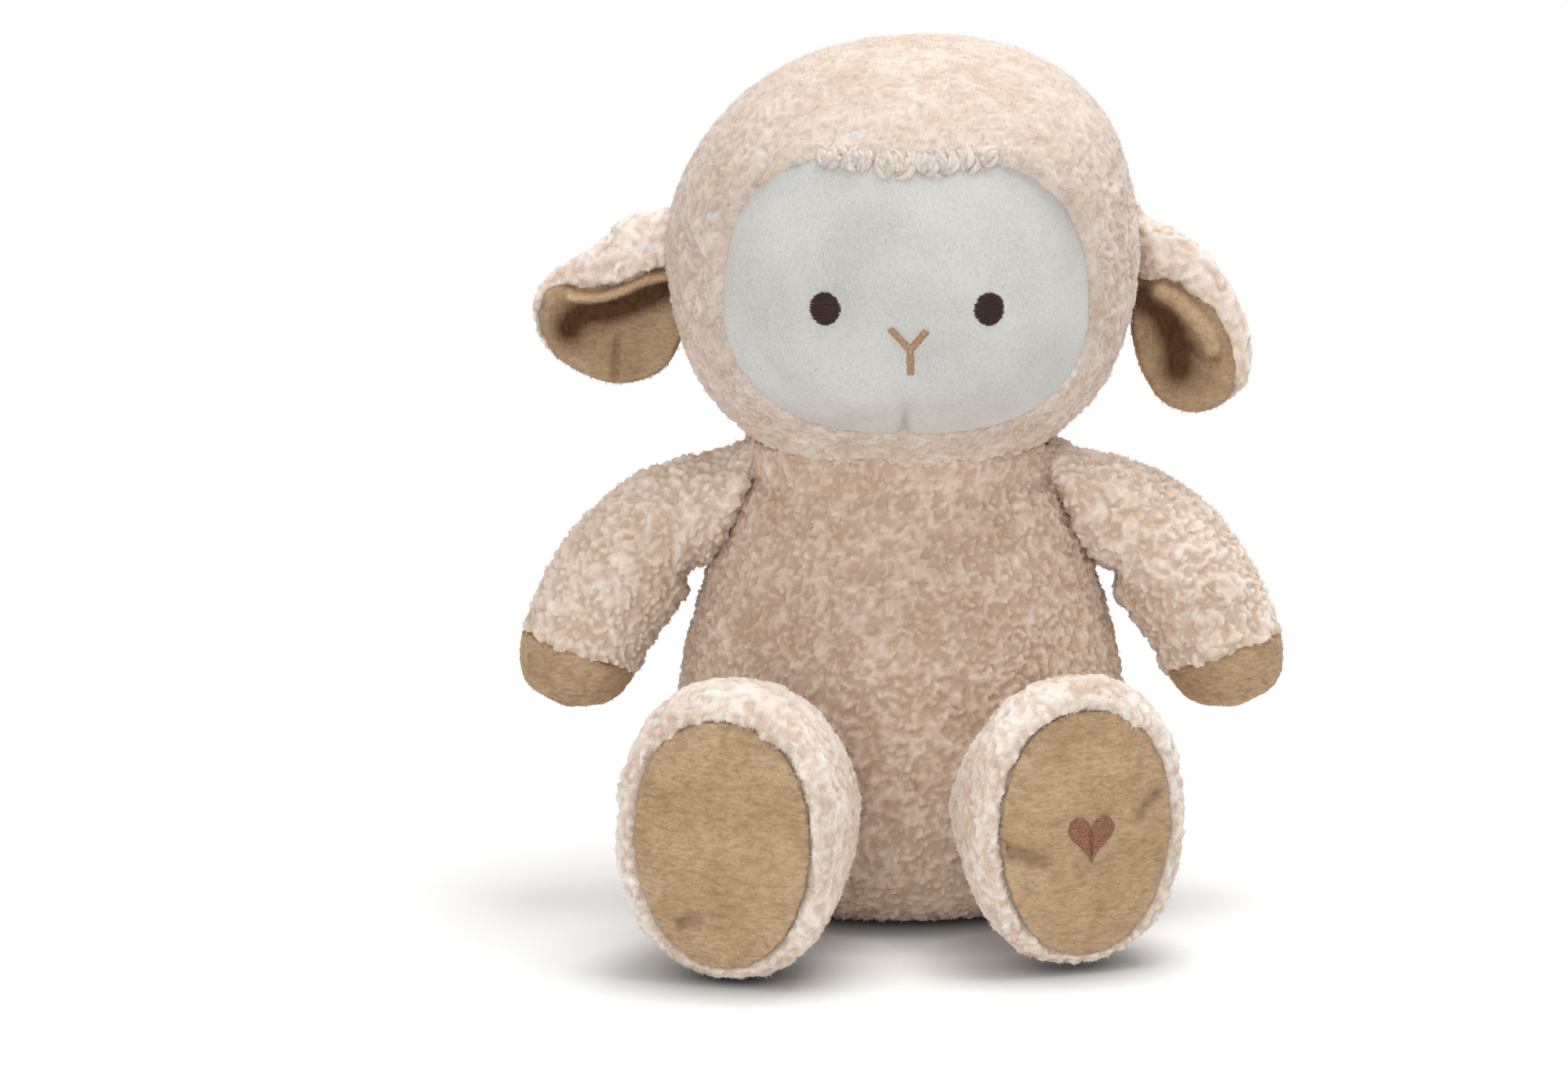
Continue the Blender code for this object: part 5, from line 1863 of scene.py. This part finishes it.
@dataclass
class Leg:
    """One leg: a fleece foot and a tan sole, and a small heart sewn on the left one."""

    side: Side
    rim_lift: float = 0.0018
    rim_place: float = 0.004
    rim_half: float = 0.005
    rim_thickness: float = 3.0
    overlap: float = 0.0008
    top_overlap: float = 0.0018
    sink: float = 0.0036
    comb_depth: float = 0.00025
    heart_steps: int = 240
    heart_slants: Spot = (-0.0003, 0.0004)
    satin: Satin = Satin(pitch=0.00036, puff=0.0012)
    pile: Pile = Pile(pitch=0.0034, height=0.0018)
    fibres: Fibres = Fibres()

    def build(self, rng: Rng) -> None:
        """Makes the foot, its sole and its filling."""
        word = self.side.value
        parts = ("leg", "leg_cover", "sole", "leg_filling")
        body, cover, sole, filling = (f"{part}_{word}" for part in parts)
        nodes = [cover, sole, filling]
        skin, where, out = cover_of(f"foot_fleece_{word}", nodes, voxel=0.003, ease=4, levels=2)
        inside, rim = self.around_sole(where, cover, sole)
        move_to(skin, where + out * (self.rim_lift * rim - self.sink * inside)[:, None])
        lie = self.pile.raise_on(skin, 1.0 - inside, rng)
        inwards = unit((np.array(middle_of(sole)) - where) * np.array([1.0, 0.0, 1.0]))
        lie.lay[:] = unit(lie.lay + 2.5 * rim[:, None] * inwards)
        lie.long[:] = 1.0 + 0.5 * rim
        self.fibres.grow_on(skin, lie, (1.0 - inside) * (1.0 + self.rim_thickness * rim), rng)
        pad, where, out = cover_of(f"sole_minky_{word}", [sole], voxel=0.0012, ease=3, levels=1)
        comb = combed(where, (0.4, 0.4, 1.0), 620.0, 0.0007, 90.0)
        rise = self.comb_depth * comb
        crease = np.zeros(len(where))
        for fold in FOLDS[self.side]:
            groove, raised = fold.press(where)
            rise += raised
            crease = np.maximum(crease, groove)
        facing = smooth_step(0.0, 0.4, -out[:, 1])
        move_to(pad, where + out * (rise * facing)[:, None])
        # Painted shade in the combed grooves of the nap and in the sole's folds, on the parts that face
        # forward.
        carry(pad, "fold", np.clip(np.clip(-comb * 0.35, 0.0, 0.2) + 0.35 * crease * facing, 0.0, 0.8))
        ground = Ground(pad)
        brush(pad, MINKY_NAP, facing + 0.01, rng)
        dress(pad, TAN_MINKY, body, [sole])
        keep_above_floor(skin)
        dress(skin, LIT_CREAM_FLEECE, body, [cover])
        if self.side is Side.LEFT:
            self.heart(ground, body, rng)
        fill(filling, body, rng)

    def around_sole(self, where: np.ndarray, cover: str, sole: str) -> tuple[np.ndarray, np.ndarray]:
        """Finds where the foot's fleece is tucked under the sole, and its raised rim around it.

        Args:
            where: The fleece's points.
            cover: The CAD cover.
            sole: The CAD sole.

        Returns:
            How far inside the sole and how far up the rim each point is, both from 0 to about 1.
        """
        away = distance_to(where, sole) - distance_to(where, cover)
        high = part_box(sole)[1].z
        top = smooth_step(high - 0.016, high - 0.004, where[:, 2])
        away += (self.overlap * (1.0 + 1.6 * ripple(where, 260.0))
                 + self.top_overlap * top * (1.0 + ripple(where, 130.0)))
        inside = 1.0 - smooth_step(0.0, 0.0012, away)
        rim = bell(away - self.rim_place, self.rim_half) * (1.0 - inside)
        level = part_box(cover)[0].z
        rim = rim * smooth_step(level, level + 0.02, where[:, 2]) * (1.0 + 0.7 * ripple(where, 90.0))
        return inside, rim

    def heart(self, ground: Ground, body: str, rng: Rng) -> None:
        """Sews a small heart on the sole, in two halves whose rows slant the same way."""
        low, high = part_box("sole_motif")
        middle, half_wide, half_tall = (low + high) / 2.0, (high.x - low.x) / 2.0, (high.z - low.z) / 2.0
        outline = []
        for step in range(self.heart_steps + 1):
            angle = math.pi * step / self.heart_steps
            across = math.sin(angle) ** 3
            up = (13 * math.cos(angle) - 5 * math.cos(2 * angle) - 2 * math.cos(3 * angle)
                  - math.cos(4 * angle) + 2.6) / 14.5
            outline.append((across, up))
        rows = []
        for height in self.satin.row_shares(2.0 * half_tall):
            crossings = [a[0] + (b[0] - a[0]) * (height - a[1]) / (b[1] - a[1])
                         for a, b in zip(outline, outline[1:]) if (a[1] - height) * (b[1] - height) < 0.0]
            if not crossings:
                continue
            inner = min(crossings) if len(crossings) > 1 else 0.0
            z = middle.z + height * half_tall
            for sign in (-1.0, 1.0):
                jag = rng.uniform(-0.0002, 0.0003)
                first = middle.x + sign * inner * half_wide
                last = middle.x + sign * (max(crossings) * half_wide + jag)
                rows.append(((first, z + self.heart_slants[0]), (last, z + self.heart_slants[1])))
        piece = self.satin.sew("heart_stitches", ground, rows)
        dress(piece, RUSSET_THREAD, body, ["sole_motif"])


@dataclass
class Tail:
    """The small fleece tail at the back."""

    root_reach: float = 0.0090
    root_swell: float = 0.0032
    pile: Pile = Pile(pitch=0.0036, height=0.0036, lean=0.0016)
    fibres: Fibres = Fibres(per_square_metre=900000.0, length=0.0024)

    def build(self, rng: Rng) -> None:
        """Makes the tail's fleece."""
        skin, where, out = cover_of("tail_fleece", ["tail"], voxel=0.0015, ease=4, levels=1)
        root = bell(distance_to(where, "body_cover"), self.root_reach)
        move_to(skin, where + out * (self.root_swell * root)[:, None])
        whole = np.ones(len(where))
        lie = self.pile.raise_on(skin, whole, rng)
        self.fibres.grow_on(skin, lie, whole, rng)
        dress(skin, FLEECE, "tail", ["tail"])


# ---------------------------------------------------------------- studio


@dataclass(frozen=True)
class Lamp:
    """A soft square lamp: where it hangs, its side and its power in watts."""

    name: str
    place: Point
    size: float
    power: float


LAMPS = (
    Lamp("key_lamp", (0.30, -0.05, 1.45), 0.9, 13.0),
    Lamp("fill_lamp", (-0.40, -1.75, 0.60), 1.4, 12.5),
    Lamp("back_lamp", (0.1, 1.0, 1.3), 1.0, 2.0),
)


@dataclass
class Studio:
    """Camera, floor and soft light."""

    target: Point = (-0.042, 0.0, 0.1316)
    distance: float = 2.2
    elevation: float = 11.0
    lens: float = 141.4
    sensor: float = 36.0
    lit: Point = (0.0, 0.0, 0.14)
    floor_half: float = 6.0
    floor_albedo: float = 0.9
    floor_tint: Colour = (243, 243, 243)
    floor_glow: float = 0.12
    shadow_reach: float = 0.55
    fade_share: float = 0.6
    # Painted contact shade on the floor: its darkest colour, its reach and where it has faded out.
    contact_shade: Colour = (60, 60, 60)
    contact_shade_reach: float = 0.035
    contact_shade_open: float = 0.95
    sky_strength: float = 0.55

    def camera(self) -> None:
        """Puts the camera where the photograph was taken from."""
        data = bpy.data.cameras.new("camera")
        data.lens = self.lens
        data.sensor_width = self.sensor
        camera = placed("camera", data)
        angle = math.radians(self.elevation)
        back = Vector((0.0, -math.cos(angle), math.sin(angle)))
        camera.location = Vector(self.target) + back * self.distance
        camera.rotation_euler = (-back).to_track_quat("-Z", "Y").to_euler()
        bpy.context.scene.camera = camera

    def floor(self) -> None:
        """Lays a plain pale floor that goes white and keeps the shadow, with painted contact shade where the
        toy is close.
        """
        bpy.ops.object.select_all(action="DESELECT")
        bpy.ops.mesh.primitive_plane_add(size=2.0 * self.floor_half, location=(0.0, 0.0, 0.0))
        plane = bpy.context.object
        plane.name = "studio_floor"
        shader = Shader("studio_floor")
        shader.set(Base_Color=(*[self.floor_albedo] * 3, 1.0), Roughness=1.0, Specular_IOR_Level=0.0)
        # Painted shade: an occlusion node darkens the floor's colour and glow where the toy is close.
        contact_shade = shader.node("ShaderNodeAmbientOcclusion", {"Distance": self.contact_shade_reach}, samples=12)
        dim = shader.ramp(contact_shade.outputs["AO"], [(0.0, self.contact_shade), (self.contact_shade_open, WHITE)])
        paint = shader.mix("MULTIPLY", 1.0, dim, self.floor_tint)
        paper = shader.node("ShaderNodeBsdfDiffuse", {"Color": paint}).outputs[0]
        glow = shader.node("ShaderNodeEmission", {"Strength": self.floor_glow, "Color": dim}).outputs[0]
        both = shader.node("ShaderNodeAddShader", {0: paper, 1: glow}).outputs[0]
        place = shader.node("ShaderNodeTexCoord").outputs["Object"]
        away = shader.node("ShaderNodeVectorMath", {0: place}, operation="LENGTH").outputs["Value"]
        rim = shader.node("ShaderNodeMapRange", {
            "From Min": self.shadow_reach * self.fade_share, "From Max": self.shadow_reach,
            "Value": away}, interpolation_type="SMOOTHSTEP").outputs["Result"]
        white = shader.node("ShaderNodeEmission").outputs[0]
        shown = shader.blend(shader.seen(), shader.surface.outputs[0], shader.blend(rim, both, white))
        shader.feed(shader.tree.nodes["Material Output"].inputs["Surface"], shown)
        plane.data.materials.append(shader.material)

    def world(self) -> None:
        """A white backdrop to the eye and a soft grey sky to the toy."""
        world = bpy.data.worlds.new("studio")
        world.use_nodes = True
        bpy.context.scene.world = world
        wires = Wires(world.node_tree)
        white = linear(WHITE)
        sky = wires.tree.nodes["Background"]
        wires.feed(sky.inputs["Color"], white)
        wires.feed(sky.inputs["Strength"], self.sky_strength)
        backdrop = wires.node("ShaderNodeBackground", {"Color": white}).outputs[0]
        shown = wires.blend(wires.seen(), sky.outputs[0], backdrop)
        wires.feed(wires.tree.nodes["World Output"].inputs["Surface"], shown)

    def build(self) -> None:
        """Sets up the whole studio."""
        self.camera()
        self.floor()
        self.world()
        for lamp in LAMPS:
            data = bpy.data.lights.new(lamp.name, "AREA")
            data.size = lamp.size
            data.energy = lamp.power
            light = placed(lamp.name, data)
            light.location = lamp.place
            toy = Vector(self.lit) - Vector(lamp.place)
            light.rotation_euler = toy.to_track_quat("-Z", "Y").to_euler()
        bpy.context.scene.view_settings.view_transform = "Standard"


def main() -> None:
    """Builds the sheep piece by piece, then the studio."""
    logging.basicConfig(level=logging.INFO, format="%(name)s: %(message)s")
    rng = np.random.default_rng(SEED)
    face = Face()
    Torso().build(rng)
    face.build(rng)
    Head(face).build(rng)
    for side in Side:
        Ear(side).build(rng)
        Arm(side).build(rng)
        Leg(side).build(rng)
    Tail().build(rng)
    Studio().build()


if __name__ == "__main__":
    main()
